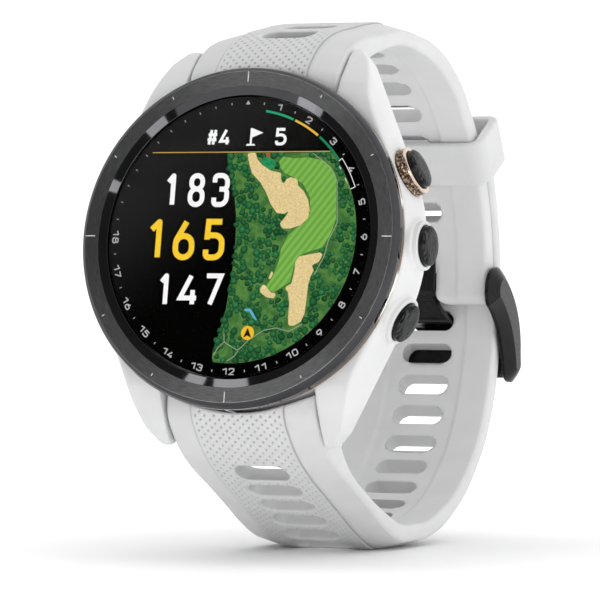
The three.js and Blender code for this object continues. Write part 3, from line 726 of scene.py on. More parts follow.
def make_scale():
    """The lens's printed scale: hole numbers, ticks between them, and the coloured score arcs."""
    quads = []
    for hole in range(1, 19):
        text = str(hole)
        width, stroke, gap = 0.74, 0.13, 0.16
        total = len(text) * width + (len(text) - 1) * gap
        glyphs = []
        for i, symbol in enumerate(text):
            left = -total / 2 + i * (width + gap)
            glyphs += figure(symbol, left, -0.42, width, 0.84, stroke, 0.6)
        quads += placed(glyphs, on_dial(15 * hole, 16.46, hole > 4))
    ticks = [22.5 + 15 * i for i in range(17)] + [277.5 + 7.5 * i for i in range(12)] + [7.5]
    tick = [(-0.045, -0.14), (0.045, -0.14), (0.045, 0.14), (-0.045, 0.14)]
    for angle in ticks:
        quads += placed([tick], on_dial(angle, SCALE_RADIUS))
    quads += placed([[(-0.28, 0.2), (0.28, 0.2), (0, -0.3)]], on_dial(0, SCALE_RADIUS, True))
    vertices, faces = plate(quads, SCREEN, SCREEN + 0.02)
    white = glow("scale_white", (0.5, 0.5, 0.51))
    piece("scale_numbers", vertices, faces, CASE, "watch", white.material)
    for name, start, end, look, color in (("first", 9, 23.2, "green", (0.02, 0.36, 0.16)),
                                          ("second", 24.2, 37.6, "yellow", (0.75, 0.46, 0.05)),
                                          ("third", 38.7, 53, "dark_green", (0.01, 0.22, 0.09))):
        lit(f"score_{name}", sector(SCORE_INNER, SCORE_OUTER, start, end), glow(f"score_{look}", color))
    inner, outer, start, end = SCORE_BOX
    box = sector(inner, inner + BOX_LINE, start, end) + sector(outer - BOX_LINE, outer, start, end)
    box += sector(inner, outer, start, start + 0.35, 2) + sector(inner, outer, end - 0.35, end, 2)
    lit("score_current", box, glow("score_white", (0.8, 0.8, 0.8)))


MAP_TOP = 10.3
MARKER = (2.2, -11.75)                    # where the player stands on the map
MAP_LEFT = [(-2.2, 10.3), (-2.15, 9.2), (-1.5, 7.2), (-0.9, 5.1), (-0.45, 2.4), (-0.3, -0.9),
            (-0.4, -3.6), (-0.6, -6.2), (-0.9, -8.8), (-1.6, -11.9), (-2.2, -13.8), (-2.25, -14.9)]
FAIRWAY = [(4.7, 9.2), (5.2, 9.8), (6.8, 9.6), (8.3, 9.7), (10.1, 9.4), (11.5, 8.6), (12.3, 7.4),
           (12.5, 5.1), (12.7, 2.1), (12.1, 0.2), (11.2, -1.3), (9.2, -1.9), (8.1, -2.4), (7.6, -3.8),
           (7.3, -5.5), (6.3, -6.1), (5.2, -6.8), (4.1, -6.2), (4.9, -5.0), (5.6, -3.1), (5.8, -1.5),
           (6.6, 0.2), (7.5, 1.0), (8.6, 1.7), (9.3, 2.9), (9.1, 4.8), (8.1, 6.4), (6.7, 7.3), (5.5, 7.8),
           (4.9, 8.5)]
BUNKER_UPPER = [(0.4, 10.3), (0.7, 9.2), (1.2, 7.8), (2.4, 6.7), (3.3, 5.4), (4.0, 4.0), (4.9, 2.9),
                (5.9, 2.8), (6.6, 3.3), (6.1, 2.5), (5.4, 1.6), (5.8, 1.0), (6.8, 1.0), (8.1, 1.4),
                (9.0, 2.2), (9.2, 3.2), (8.9, 4.5), (8.2, 5.6), (7.4, 6.3), (7.3, 7.0), (6.4, 7.3),
                (5.8, 7.0), (5.5, 6.3), (5.1, 7.1), (5.1, 7.8), (3.7, 8.1), (2.5, 8.8), (1.8, 9.5),
                (1.5, 10.3)]
BUNKER_LOWER = [(8.2, -2.4), (9.8, -2.1), (11.0, -1.9), (11.3, -2.2), (10.9, -3.0), (9.9, -3.5),
                (10.3, -4.0), (9.9, -4.9), (9.7, -5.8), (9.6, -7.7), (9.5, -9.3), (9.1, -10.3),
                (8.2, -10.8), (7.5, -10.8), (7.4, -9.9), (7.4, -8.0), (7.1, -6.7), (6.6, -6.2),
                (7.5, -5.7), (7.8, -4.0), (7.8, -3.1)]
BUNKER_SMALL = [(3.4, -6.4), (3.9, -5.7), (4.3, -6.2), (4.9, -6.8), (5.7, -6.9), (5.3, -7.5), (4.4, -7.4),
                (3.6, -6.9)]
BUNKER_SLIVER = [(4.4, -5.1), (4.8, -4.1), (5.0, -4.5), (4.7, -5.2)]
POND = [(2.3, 9.2), (2.8, 8.6), (3.6, 8.3), (4.5, 8.7), (4.1, 9.3), (3.3, 9.7), (2.6, 9.8)]
STREAM = [(1.5, -8.8), (2.4, -8.8), (2.9, -9.5), (3.4, -10.3), (3.0, -10.1), (2.5, -9.5), (2.2, -9.1),
          (1.7, -9.1)]
CART_PATHS = [
    [(9.1, 10.2), (10.7, 9.1), (11.7, 8.2), (12.5, 6.7), (12.9, 1.7), (11.9, -0.5), (11.5, -2.4),
     (10.4, -4.6)],
    [(-0.9, -11.9), (-0.8, -12.9), (1.1, -13.9), (2.4, -12.6), (4.3, -11.4), (5.9, -11.1), (7.6, -11.5),
     (9.3, -10.6)],
    [(-0.8, -12.9), (-1.5, -13.5), (-2.1, -14.5)], [(1.1, -13.9), (0.7, -14.6), (-0.3, -15.2)]]


def grown(outline, by):
    """An outline moved outwards."""
    count = len(outline)
    turn = sum(a[0] * b[1] - b[0] * a[1] for a, b in zip(outline, outline[1:] + outline[:1]))
    out = []
    for i in range(count):
        along = (Vector(outline[(i + 1) % count]) - Vector(outline[i - 1])).normalized()
        normal = Vector((along.y, -along.x)) * (1 if turn > 0 else -1)
        out.append(tuple(Vector(outline[i]) + normal * by))
    return out


def fairway_paint():
    """Mown stripes across the fairway."""
    paint = glow("fairway", (0.24, 0.5, 0.08))
    wave = paint.node("ShaderNodeTexWave", Scale=430.0, Distortion=0.6, Detail=2.0)
    slanted = paint.node("ShaderNodeMapping", Rotation=(0, math.radians(-38), 0))
    paint.link(paint.coords(), slanted.inputs["Vector"])
    paint.link(slanted.outputs["Vector"], wave.inputs["Vector"])
    paint.drive("Emission Color", paint.ramp(wave.outputs["Fac"], (0.35, (0.13, 0.35, 0.045)),
                                             (0.65, (0.2, 0.44, 0.08))))
    return paint


def tree_paint():
    """Tree crowns, each tinted by its own colour attribute."""
    paint = glow("trees", (0.02, 0.2, 0.07))
    tint = paint.node("ShaderNodeVertexColor", layer_name="tint")
    paint.drive("Emission Color", tint.outputs["Color"])
    return paint


def make_trees(ground, keep_out):
    """Low crowns scattered in clumps over the rough, darker on the side away from the light."""
    random.seed(7)
    spots = [(random.uniform(-2.4, 15.2), random.uniform(-15.2, 10.2), random.uniform(0.3, 0.56))
             for _ in range(5200)]
    flat = [(x, y) for x, y, _ in spots]
    allowed = within(flat, ground) & ~np.any([within(flat, outline) for outline in keep_out], axis=0)
    vertices, faces, tints, grown_at = [], [], [], []
    sides = 9
    low = SCREEN + 0.02
    for (x, y, size), free in zip(spots, allowed):
        clump = math.sin(x * 1.3 + 0.6 * y + 1.1) * math.cos(y * 0.9 - x * 0.4)
        if not free or math.hypot(x, y) > DISPLAY_RADIUS - size * 0.6 or clump < random.uniform(-0.55, 0.05):
            continue
        if any(math.hypot(x - a, y - b) < (size + c) * 0.66 for a, b, c in grown_at):
            continue
        grown_at.append((x, y, size))
        base = len(vertices)
        shade = random.uniform(0.6, 1.5)
        vertices.append((x + size * 0.1, y + size * 0.12, low + 0.03))
        tints.append((0.022 * shade, 0.18 * shade, 0.055 * shade, 1))
        for k in range(sides):
            angle = 2 * math.pi * (k + random.uniform(-0.25, 0.25)) / sides
            reach = size * random.uniform(0.7, 1.15)
            vertices.append((x + reach * math.cos(angle), y + reach * math.sin(angle), low))
            side = 0.05 + 0.5 * (math.cos(angle - 2.2) * 0.5 + 0.5) ** 2
            tints.append((0.014 * shade * side, 0.11 * shade * side, 0.035 * shade * side, 1))
        faces += [[base, base + 1 + k, base + 1 + (k + 1) % sides] for k in range(sides)]
        faces.append([base + 1 + k for k in range(sides)][::-1])
    trees = piece("map_trees", vertices, faces, CASE, "watch", tree_paint().material, crease=80)
    layer = trees.data.color_attributes.new("tint", "FLOAT_COLOR", "POINT")
    layer.data.foreach_set("color", np.array(tints, np.float32).ravel())


def make_map():
    lower_start = math.degrees(math.atan2(-15.3, -2.1))
    upper_end = math.degrees(math.asin(MAP_TOP / DISPLAY_RADIUS))
    ground = MAP_LEFT + arc((0, 0), DISPLAY_RADIUS, lower_start, upper_end, 60)
    rough = glow("rough", (0.085, 0.215, 0.045), (0.035, 0.13, 0.03), 0.0011, (0.38, 0.62))
    lit("map_ground", [ground], rough)
    edge = glow("fringe", (0.05, 0.17, 0.03))
    lit("map_fringe", [grown(FAIRWAY, 0.14), grown(BUNKER_UPPER, 0.1)], edge, 1)
    lit("map_fairway", [FAIRWAY], fairway_paint(), 2)
    sand = glow("sand", (0.8, 0.64, 0.33), (0.62, 0.47, 0.2), 0.00018, (0.3, 0.7))
    bunkers = (BUNKER_UPPER, BUNKER_LOWER, BUNKER_SMALL, BUNKER_SLIVER)
    lit("map_bunkers", [fillet(outline, 0.25, 2) for outline in bunkers], sand, 3)
    lit("map_pond", [fillet(POND, 0.3, 3)], glow("pond", (0.02, 0.3, 0.11), (0.01, 0.19, 0.07), 0.0006), 2)
    lit("map_stream", [fillet(STREAM, 0.2, 3)], glow("stream", (0.1, 0.42, 0.62)), 3)
    lines = [q for path in CART_PATHS for q in ribbon(fillet(path, 0.5, 3, False), 0.09)]
    lit("map_paths", lines, glow("cart_path", (0.3, 0.36, 0.24)), 3)
    lit("map_marker", [arc(MARKER, 0.86, 0, 345, 23)], glow("marker", (0.86, 0.5, 0.02)), 3)
    arrow = [(2.2, -11.1), (2.75, -12.35), (2.2, -12.05), (1.65, -12.35)]
    lit("map_arrow", [arrow], glow("arrow", (0.01, 0.01, 0.01)), 4)
    lit("map_flag", [arc((3.2, 10.02), 0.24, 0, 330, 11)], glow("pin_flag", (0.5, 0.05, 0.02)), 4)
    keep_out = [grown(outline, by) for outline, by in (
        (FAIRWAY, 0.3), (BUNKER_UPPER, 0.3), (BUNKER_LOWER, 0.25), (BUNKER_SMALL, 0.2), (STREAM, 0.3))]
    keep_out += [POND, arc(MARKER, 1.05, 0, 345, 23)]
    make_trees(ground, keep_out)


# ------------------------------------------------------------------ case
def meet(one, two):
    """Where two lines cross, each given as a normal and its distance from the origin."""
    (a, b), p = one
    (c, d), q = two
    return ((p * d - q * b) / (a * d - b * c), (a * q - c * p) / (a * d - b * c))


def case_outline(inset):
    """The case seen from the front, moved in evenly: two arcs, flanks tangent to them, and the lugs."""
    flank = math.atan2(LUG_CORNER.y, LUG_CORNER.x) - math.acos(CASE_RADIUS / LUG_CORNER.length)
    tip = Vector((1.9, 1.6)).normalized()
    flank_line = ((math.cos(flank), math.sin(flank)), CASE_RADIUS - inset)
    tip_line = (tuple(tip), tip.dot(LUG_CORNER) - inset)
    end_line = ((0, 1), LUG_TIP - inset)
    right = arc((0, 0), CASE_RADIUS - inset, -math.degrees(flank), math.degrees(flank), 48)
    upper = fillet([right[-1], meet(flank_line, tip_line), meet(tip_line, end_line), (0, LUG_TIP - inset)],
                   [0, 0.7, 0.8, 0], 5, False)[1:-1]
    half = [(x, -y) for x, y in upper][::-1] + right + upper
    return half + [(-x, -y) for x, y in half]


def smooth_levels(levels, steps=6):
    """More levels on a smooth curve through the given (height, inset) ones."""
    points = [Vector(level) for level in levels]
    out = []
    for i in range(len(points) - 1):
        before, after = points[max(i - 1, 0)], points[min(i + 2, len(points) - 1)]
        for k in range(steps):
            t = k / steps
            a, b = points[i], points[i + 1]
            out.append(0.5 * ((2 * a) + (b - before) * t + (2 * before - 5 * a + 4 * b - after) * t * t
                              + (3 * a - before - 3 * b + after) * t ** 3))
    return out + [points[-1]]


def make_case():
    levels = smooth_levels([(CASE_TOP, 0.75), (-3.6, 0.35), (-5.4, 0), (-8.6, 0.1), (-10.3, 0.7),
                            (CASE_BOTTOM, 1.6)])
    rings = [[(x, y, level.x) for x, y in case_outline(level.y + 0.02)] for level in levels]
    body = mesh_object("case_body", *loft(rings[::-1]), CASE)
    lug_line = fillet([(16, CASE_TOP + 1), (16, -2.92), (17.8, -3.15), (19.7, -4), (22.2, -5.6),
                       (24.1, -7.1), (24.7, -8.1), (23.9, -9.6), (21.8, -10.8), (19.4, CASE_BOTTOM - 1)],
                      [0, 0.2, 4, 4, 5, 1.5, 0.8, 1.5, 2, 0], 4, False)
    side = lug_line + [(-u, n) for u, n in lug_line][::-1]
    carve(body, loft([[(x, u, n) for u, n in side] for x in (-24, 24)]), CASE, "INTERSECT")
    for name, (angle, face) in BUTTONS.items():
        top = face - BUTTON_HEAD - (COLLAR_SEAT if name == "start" else 0.55)
        points, faces = spun([(3.6, 17.9), (3.25, top - 0.3), (3.05, top - 0.1), (3.05, top)], 64)
        carve(body, (sideways(points, angle), faces), CASE)
    # Room for the strap's ends, with a round wall behind each
    for sign in (1, -1):
        wide = STRAP_SEAT_HALF_WIDTH
        corners = ((-wide, -14), (wide, -14), (wide, 0), (-wide, 0))
        rings = [[(x, u, n) for x, n in corners] for u in (0, sign * 30)]
        recess = mesh_object("recess", *loft(rings), CASE)
        carve(recess, spun([(STRAP_SEAT_RADIUS, -15), (STRAP_SEAT_RADIUS, 1)], 128), CASE, "DIFFERENCE")
        combine(body, recess, "DIFFERENCE")
    carve(body, spun([(CAVITY_RADIUS, -12), (CAVITY_RADIUS, -2)]), CASE, "DIFFERENCE")
    # Each button's bore: room for its clip and seal, its stem, its cap and, for one, its collar
    for name, (angle, face) in BUTTONS.items():
        seat = face - BUTTON_HEAD
        bore = BUTTON_RADIUS + 0.2
        mouth = COLLAR_RADIUS + 0.03 if name == "start" else bore
        points, faces = spun([(CLIP_ROOM, 15), (CLIP_ROOM, 18.2), (STEM_ROOM, 18.25),
                              (STEM_ROOM, seat - 2.3), (bore, seat - 2.25), (bore, seat - COLLAR_SEAT),
                              (mouth, seat - COLLAR_SEAT + 0.02), (mouth, seat + 3)], 64)
        carve(body, (sideways(points, angle), faces), CASE, "DIFFERENCE")
    soften(body, 0.22, 4)
    settle(body, "watch", POLYMER, ["mid_case"], 60)


# ------------------------------------------------------------------ buttons
def make_buttons():
    radius = BUTTON_RADIUS - 0.03
    for name, (angle, face) in BUTTONS.items():
        seat = face - BUTTON_HEAD
        low = seat - BUTTON_FLANGE
        outline = [(1, 15.85), (1, low), (radius, low), (radius, face - 0.32), (radius - 0.28, face - 0.1),
                   (1.4, face), (0.3, face)]
        points, faces = spun(fillet(outline, [0, 0, 0.05, 0.05, 0.05, 0.5, 0], 4, False))
        cap = piece(f"{name}_cap", sideways(points, angle), faces, CASE, f"{name}_button", BLACK,
                    [f"{name}_button"], 28, uv=points[:, 1::-1])
        refinish(cap, CAP_BLACK, axle(angle), lambda at: at.x > face - 0.3)
        if name == "start":
            make_collar(angle, seat)
        else:
            ring = fillet([(2.5, low), (2.98, low), (2.98, seat), (2.5, seat)], [0, 0, 0.14, 0.08], 4)
            points, faces, _ = turned(ring, 96)
            piece(f"{name}_boss_ring", sideways(points, angle), faces, CASE, "watch", POLYMER,
                  [], 30)


def make_collar(angle, seat):
    """The start button's collar: a polished rim and a pitted side."""
    random.seed(11)
    inner, outer = BUTTON_RADIUS + 0.05, COLLAR_RADIUS
    outline = fillet([(inner, seat - 1.35), (outer, seat - 1.35), (outer, seat), (inner, seat)],
                     [0, 0.06, 0.16, 0.1], 4)
    foot = [p for p in outline if p[1] < seat - 1.28]
    side = [(outer, height) for height in np.linspace(seat - 1.22, seat - 0.3, 9)]
    rim = [p for p in outline if p[1] > seat - 0.29]
    points, faces, _ = turned(foot + side + rim, 132)
    for i, (x, y, z) in enumerate(points):
        if abs(math.hypot(x, y) - outer) < 1e-6 and seat - 1.2 < z < seat - 0.35:
            pit = 1 - random.choice((0, 0, 0.018, 0.03, 0.042))
            points[i] = (x * pit, y * pit, z)
    collar = piece("start_collar", sideways(points, angle), faces, CASE, "watch", ROSE,
                   ["start_button_collar"], 25)
    refinish(collar, KNURL, axle(angle), lambda at: at.x < seat - 0.3)


# ------------------------------------------------------------------ straps
def station(outer_y, outer_z, inner_y, inner_z, half=STRAP_HALF_WIDTH, drop=0.9):
    """A place along the strap: its outer and inner point, its half width and the drop of its shoulders."""
    return (outer_y, outer_z, inner_y, inner_z, half, drop)


def arc_station(angle, radius, thickness, half, drop):
    y, z = math.cos(math.radians(angle)), math.sin(math.radians(angle))
    outer = radius + thickness
    return (WRIST_CENTRE.x + outer * y, WRIST_CENTRE.y + outer * z,
            WRIST_CENTRE.x + radius * y, WRIST_CENTRE.y + radius * z, half, drop)


def end_station(u):
    """A strap's end, between the lugs, at a height up the dial."""
    sine, cosine = math.sin(DIAL_TILT), math.cos(DIAL_TILT)
    near, far = 3.5, 11.3                 # depths of the strap's faces below the bezel's top face
    return station(u * sine + near * cosine, u * cosine - near * sine,
                   u * sine + far * cosine, u * cosine - far * sine)


LOWER_STATIONS = [
    end_station(-17.5), station(0.1, -21.6, 7.7, -22.2), station(2.0, -24.6, 8.9, -24.8),
    station(4.5, -27.1, 9.9, -26.5), station(7.9, -29.5, 11.4, -28.1), station(11.6, -31.6, 13.6, -29.7),
    station(17.1, -34.6, 18.4, -32.3), station(21.3, -36.9, 22.5, -34.1), station(25, -38.6, 25.8, -35.4),
    station(28.4, -39.6, 28.8, -36.3), station(33, -39.7, 33, -36.5), station(37.6, -39.4, 37, -36.4),
    station(43, -37.9, 41.8, -35.3, 9.93, 0.6), station(47.2, -36.2, 45.8, -33.9, 9.88, 0.6),
    station(51.2, -34, 49.4, -31.8, 9.84, 0.6), station(54.8, -31.1, 52.6, -29.3, 9.8, 0.6),
    station(57.6, -28.3, 55, -26.9, 9.76, 0.55), station(59.7, -25.4, 56.9, -24.1, 9.72, 0.5),
    station(61.3, -22.4, 58.4, -21.3, 9.68, 0.5), station(62.6, -19.1, 59.6, -18.3, 9.64, 0.45),
    station(63.4, -15.8, 60.6, -15.3, BUCKLE_HALF_WIDTH, 0.4),
    station(63.8, -12.2, 61.2, -12, BUCKLE_HALF_WIDTH, 0.35),
    *[arc_station(angle, TAIL_RADIUS, TAIL_THICKNESS, BUCKLE_HALF_WIDTH, 0.35)
      for angle in (-6, 2, 10, 17, 24, 30.5)]]
UPPER_STATIONS = [
    end_station(17.5), station(6.9, 19.6, 15.1, 18.7), station(8.9, 21.8, 16.2, 20.6),
    station(11.8, 23.7, 17.5, 21.6), station(15.9, 25.1, 19.2, 22.2), station(20.7, 25.9, 22.2, 22.9),
    station(25.6, 26.6, 26.1, 23.6), station(30.2, 26.86, 30, 23.8),
    *[arc_station(angle, radius, thickness, 9.85, 0.5)
      for angle, radius, thickness in ((80, 28.9, 2.7), (70, 29.2, 3), (60, 29.4, 3.05), (50, 29.6, 3.1))],
    *[arc_station(angle, WRIST_RADIUS, BUCKLE_STRAP_THICKNESS, BUCKLE_HALF_WIDTH, 0.3)
      for angle in (42, 34, 26, 18, 10, 2, -7.7)]]
GRAIN_PITCH = 1.24                        # between pits across the strap
GRAIN_ROW = 0.5                           # between rows of pits along it
PIT_DEPTH = 0.3
PIT_HALF_LENGTH, PIT_HALF_WIDTH = 0.21, 0.18
BAND_STEP, BAND_GROOVE = 0.2, 0.1         # the band's height above the shoulders, and its groove's depth
RECESS_DEPTH, RECESS_HALF_WIDTH = 0.3, 5.3
LOWER_SLOTS = (9.6, 4.53, 21, 2.4)        # first, pitch, count, and how far the first five crowd together
UPPER_SLOTS = (11.3, 5.15, 11, 0)
SLOT_LEAN = 0.75                          # how far the rear slots slant between the strap's faces
LIP = 0.4                                 # rounding of the edges of slots and ends
TIP = 1.2                                 # rounding of the strap's tip
OUTER_COLUMN = 9.1                        # where the columns end on a strap of the full width
SIDE_ROUND = 0.5                          # from the last column to the strap's side


def through(points, share):
    """Points on the centripetal Catmull-Rom curve through given ones, at shares of its spans."""
    points = np.array(points, float)
    padded = np.vstack([2 * points[0] - points[1], points, 2 * points[-1] - points[-2]])
    place = np.clip(np.asarray(share, float), 0, 1) * (len(points) - 1)
    span = np.minimum(place.astype(int), len(points) - 2)
    weight = (place - span)[:, None]
    p0, p1, p2, p3 = (padded[span + k] for k in range(4))
    t01, t12, t23 = (np.maximum(np.linalg.norm(b - a, axis=1), 1e-6)[:, None] ** 0.5
                     for a, b in ((p0, p1), (p1, p2), (p2, p3)))
    m1 = (p1 - p0) / t01 - (p2 - p0) / (t01 + t12) + (p2 - p1) / t12
    m2 = (p2 - p1) / t12 - (p3 - p1) / (t12 + t23) + (p3 - p2) / t23
    m1, m2 = m1 * t12, m2 * t12
    w = weight
    return (2 * p1 - 2 * p2 + m1 + m2) * w ** 3 + (-3 * p1 + 3 * p2 - 2 * m1 - m2) * w ** 2 + m1 * w + p1


class StrapLine:
    """A strap's outer and inner line, half width and shoulder drop, by distance along its middle line."""

    def __init__(self, stations):
        self.stations = np.array(stations, float)
        shares = np.linspace(0, 1, 1201)
        middle = through((self.stations[:, :2] + self.stations[:, 2:4]) / 2, shares)
        steps = np.linalg.norm(np.diff(middle, axis=0), axis=1)
        self.distance = np.concatenate([[0], np.cumsum(steps)])
        self.shares = shares
        self.middle = middle
        self.length = self.distance[-1]

    def at(self, s):
        share = np.interp(s, self.distance, self.shares)
        behind = SLOT_LEAN * np.clip((s - 46) / 12, 0, 1) * np.clip((self.length - 7 - s) / 8, 0, 1)
        outer = through(self.stations[:, :2], np.interp(s - behind, self.distance, self.shares))
        inner = through(self.stations[:, 2:4], share)
        form = through(self.stations[:, 4:], share)
        return outer, inner, form[:, 0], form[:, 1]

    def start_of(self, x, side):
        """Where the strap begins at each x: it butts against a round wall of the case."""
        height = side * (self.middle @ np.array([math.sin(DIAL_TILT), math.cos(DIAL_TILT)]))
        need = np.sqrt(20.6 ** 2 - np.minimum(np.abs(x), 20) ** 2)
        return np.interp(need, np.maximum.accumulate(height[:300]), self.distance[:300])


def strap_columns():
    """Where a strap's columns lie, left to right: close together on the band, wider on the shoulders."""
    band = np.arange(0, 5.8, GRAIN_PITCH / 8)
    right = [*band, 5.9, 6.04, BAND_HALF_WIDTH, 6.16, 6.3, *np.linspace(6.7, OUTER_COLUMN, 8)]
    return np.array([-x for x in right[:0:-1]] + right)


EDGE_TURN = np.radians([15, 35, 55, 75, 90])


def rounding(away, radius):
    """How far a rounded edge falls at a distance from it."""
    return radius - np.sqrt(np.maximum(radius ** 2 - (radius - np.clip(away, 0, radius)) ** 2, 0))


def strap_piece(name, node, stations, slots, side, grain_end, notch=None):
    """The whole strap as an outer and an inner sheet on one grid, joined round its slots, ends and sides."""
    line = StrapLine(stations)
    columns = strap_columns()
    fine = np.arange(0, grain_end, GRAIN_ROW / 4)
    rest = np.arange(grain_end, line.length - TIP, 0.4)
    tip = line.length - TIP + TIP * np.sin(np.linspace(0, math.pi / 2, 8))
    rows = np.concatenate([fine, rest, tip])
    s, x = np.meshgrid(rows, columns, indexing="ij")

    # Signed distance outside every cut, and the nearest point on the cut's edge
    away = np.full(s.shape, 9.0)
    to_s, to_x = s.copy(), x.copy()

    def cut(distance, near_s, near_x):
        closer = distance < away
        away[closer] = distance[closer]
        to_s[closer], to_x[closer] = near_s[closer], near_x[closer]

    first, pitch, count, crowding = slots
    reach, radius = (SLOT_LENGTH - SLOT_WIDTH) / 2, SLOT_WIDTH / 2
    for k in range(count):
        centre = first + k * pitch + crowding * max(0, 1 - k / 5) ** 1.5
        core = np.clip(x, -reach, reach)
        gap = np.maximum(np.hypot(x - core, s - centre), 1e-6)
        cut(gap - radius, centre + (s - centre) * radius / gap, core + (x - core) * radius / gap)
    start = line.start_of(x, side)
    cut(s - start, start, x)
    if notch:
        half, from_s, corner = notch
        flare = np.maximum(0, s - (line.length - corner))
        edge = half + corner - np.sqrt(np.maximum(corner ** 2 - flare ** 2, 0))
        by_side, by_end = np.abs(x) - edge, from_s - s
        use_side = by_side > by_end
        cut(np.maximum(by_side, by_end), np.where(use_side, s, from_s),
            np.where(use_side, np.sign(x) * edge, x))

    gone = away < 0
    kept_face = ~(gone[:-1, :-1] & gone[1:, :-1] & gone[:-1, 1:] & gone[1:, 1:])
    near_kept = np.zeros_like(gone)
    for a, b in ((0, 0), (1, 0), (0, 1), (1, 1)):
        near_kept[a:a + kept_face.shape[0], b:b + kept_face.shape[1]] |= kept_face
    snap = gone & near_kept
    s, x = np.where(snap, to_s, s), np.where(snap, to_x, x)
    away = np.where(snap, 0, away)

    outer, inner, half, drop = (np.asarray(v).reshape(*s.shape, -1).squeeze() for v in line.at(s.ravel()))
    across = outer - inner
    thickness = np.linalg.norm(across, axis=-1)
    across = across / thickness[..., None]
    # Columns beyond the band follow the half width
    width = half - SIDE_ROUND - BAND_HALF_WIDTH
    spread = (np.abs(x) - BAND_HALF_WIDTH) * width / (OUTER_COLUMN - BAND_HALF_WIDTH)
    x = np.where(np.abs(x) > BAND_HALF_WIDTH + 0.1, np.sign(x) * (BAND_HALF_WIDTH + spread), x)
    shoulder = np.clip((np.abs(x) - BAND_HALF_WIDTH) / width, 0, 1)
    top = thickness - drop * shoulder ** 1.15
    # The band stands a step above the shoulders, with a groove at its foot; both fade out behind the grain
    groove = np.exp(-((np.abs(x) - BAND_HALF_WIDTH - 0.03) / 0.06) ** 2)
    groove_fade = 1 - np.clip((s - grain_end - 4) / 3, 0, 1)
    step = np.clip((np.abs(x) - BAND_HALF_WIDTH) / 0.12 + 0.5, 0, 1)
    top -= (BAND_STEP * step + BAND_GROOVE * groove) * groove_fade
    # Lips of the slots, ends and notch are rounded
    fall = rounding(away, LIP)
    top -= fall
    bottom = fall * 0.9
    # The grain: a staggered lattice of small pits on the band
    row = np.rint(s / GRAIN_ROW)
    turns = x / GRAIN_PITCH - np.where(row % 2 == 0, 0, 0.5)
    near = np.hypot((s - row * GRAIN_ROW) / PIT_HALF_LENGTH,
                    (turns - np.rint(turns)) * GRAIN_PITCH / PIT_HALF_WIDTH)
    pits = np.clip(1 - near, 0, 1) * (np.abs(x) < 5.7) * (away > 0.35) * (s < grain_end - 0.3)
    top -= PIT_DEPTH * pits
    # Painted shade: darker in the pits, in the groove at the band's foot, and along the cut edges of slots,
    # ends and notch, on both faces
    shade = (1 - 0.5 * pits - 0.5 * groove * groove_fade) * np.where(away <= 0, 0.8, 1)
    inner_shade = np.where(away <= 0, 0.8, 1)
    # A shallow recess down the inner face
    recess = 1 / (1 + np.exp((np.abs(x) - RECESS_HALF_WIDTH) / 0.1))
    bottom += RECESS_DEPTH * recess * np.clip((s - 10) / 4, 0, 1) * (away > 0)
    # Rounded tip
    tuck = rounding(line.length - s, TIP) * 0.75
    top -= tuck
    bottom += tuck

    def sheet(depth):
        return np.concatenate([x[..., None], inner + across * depth[..., None]], -1)

    outer_sheet, inner_sheet = sheet(top), sheet(bottom)

    def edges(sign):
        """Columns round one side, from the shoulder's end to the middle of the side, above and below."""
        col = -1 if sign > 0 else 0
        above, below = [], []
        near_x, high, low = np.abs(x[:, col]), top[:, col], bottom[:, col]
        lead = half[:, col] - near_x
        fall = np.minimum(0.75, (high - low) * 0.45)

        def column(out_x, depth):
            return np.concatenate([out_x[:, None], inner[:, col] + across[:, col] * depth[:, None]], -1)

        for angle in EDGE_TURN:
            out_x = sign * (near_x + lead * np.sin(angle))
            above.append(column(out_x, high - fall * (1 - np.cos(angle))))
            below.append(column(out_x, low + fall * (1 - np.cos(angle))))
        middle = column(sign * half[:, col], (high + low) / 2)
        return above + [middle], below + [middle]

    left_above, left_below = edges(-1)
    right_above, right_below = edges(1)
    full_outer = np.concatenate([np.stack(left_above[::-1], 1), outer_sheet, np.stack(right_above, 1)], 1)
    full_inner = np.concatenate([np.stack(left_below[::-1], 1), inner_sheet, np.stack(right_below, 1)], 1)
    pad = len(left_above)
    kept = np.pad(kept_face, ((0, 0), (pad, pad)), mode="edge")
    rows_count, cols = full_outer.shape[:2]
    index = np.arange(rows_count * cols).reshape(rows_count, cols)
    shift = rows_count * cols
    a, b, c, d = index[:-1, :-1][kept], index[:-1, 1:][kept], index[1:, 1:][kept], index[1:, :-1][kept]
    faces = [np.stack([a, b, c, d], -1), np.stack([d, c, b, a], -1) + shift]
    # A wall stands wherever a kept face has no kept neighbour
    walls = []
    tall = np.pad(kept, 1, constant_values=False)
    for (row_a, col_a), (row_b, col_b), there in (
            ((0, 0), (0, 1), tall[:-2, 1:-1]), ((1, 1), (1, 0), tall[2:, 1:-1]),
            ((1, 0), (0, 0), tall[1:-1, :-2]), ((0, 1), (1, 1), tall[1:-1, 2:])):
        i, k = np.nonzero(kept & ~there)
        p, q = index[i + row_a, k + col_a], index[i + row_b, k + col_b]
        walls.append(np.stack([q, p, p + shift, q + shift], -1))
    faces = np.concatenate(faces + walls)
    if side < 0:
        faces = faces[:, ::-1]
    vertices = np.concatenate([full_outer.reshape(-1, 3), full_inner.reshape(-1, 3)])
    vertices[:, 2] = np.maximum(vertices[:, 2], REST_HEIGHT)
    obj = mesh_object(name, vertices, faces, WATCH)
    # The painted shade goes into the depth colour attribute, which the strap's silicone multiplies its
    # colour by
    tint = np.ones((len(vertices), 4), np.float32)
    for start_at, values in ((0, shade), (shift, inner_shade)):
        padded = np.pad(values, ((0, 0), (pad, pad)), constant_values=1)
        tint[start_at:start_at + shift, :3] = padded.reshape(-1, 1)
    layer = obj.data.color_attributes.new("depth", "FLOAT_COLOR", "POINT")
    layer.data.foreach_set("color", tint.ravel())
    weld = obj.modifiers.new("weld", "WELD")
    weld.merge_threshold = 0.000004
    apply_modifiers(obj)
    return settle(obj, "watch", STRAP_SILICONE, [node], 50)


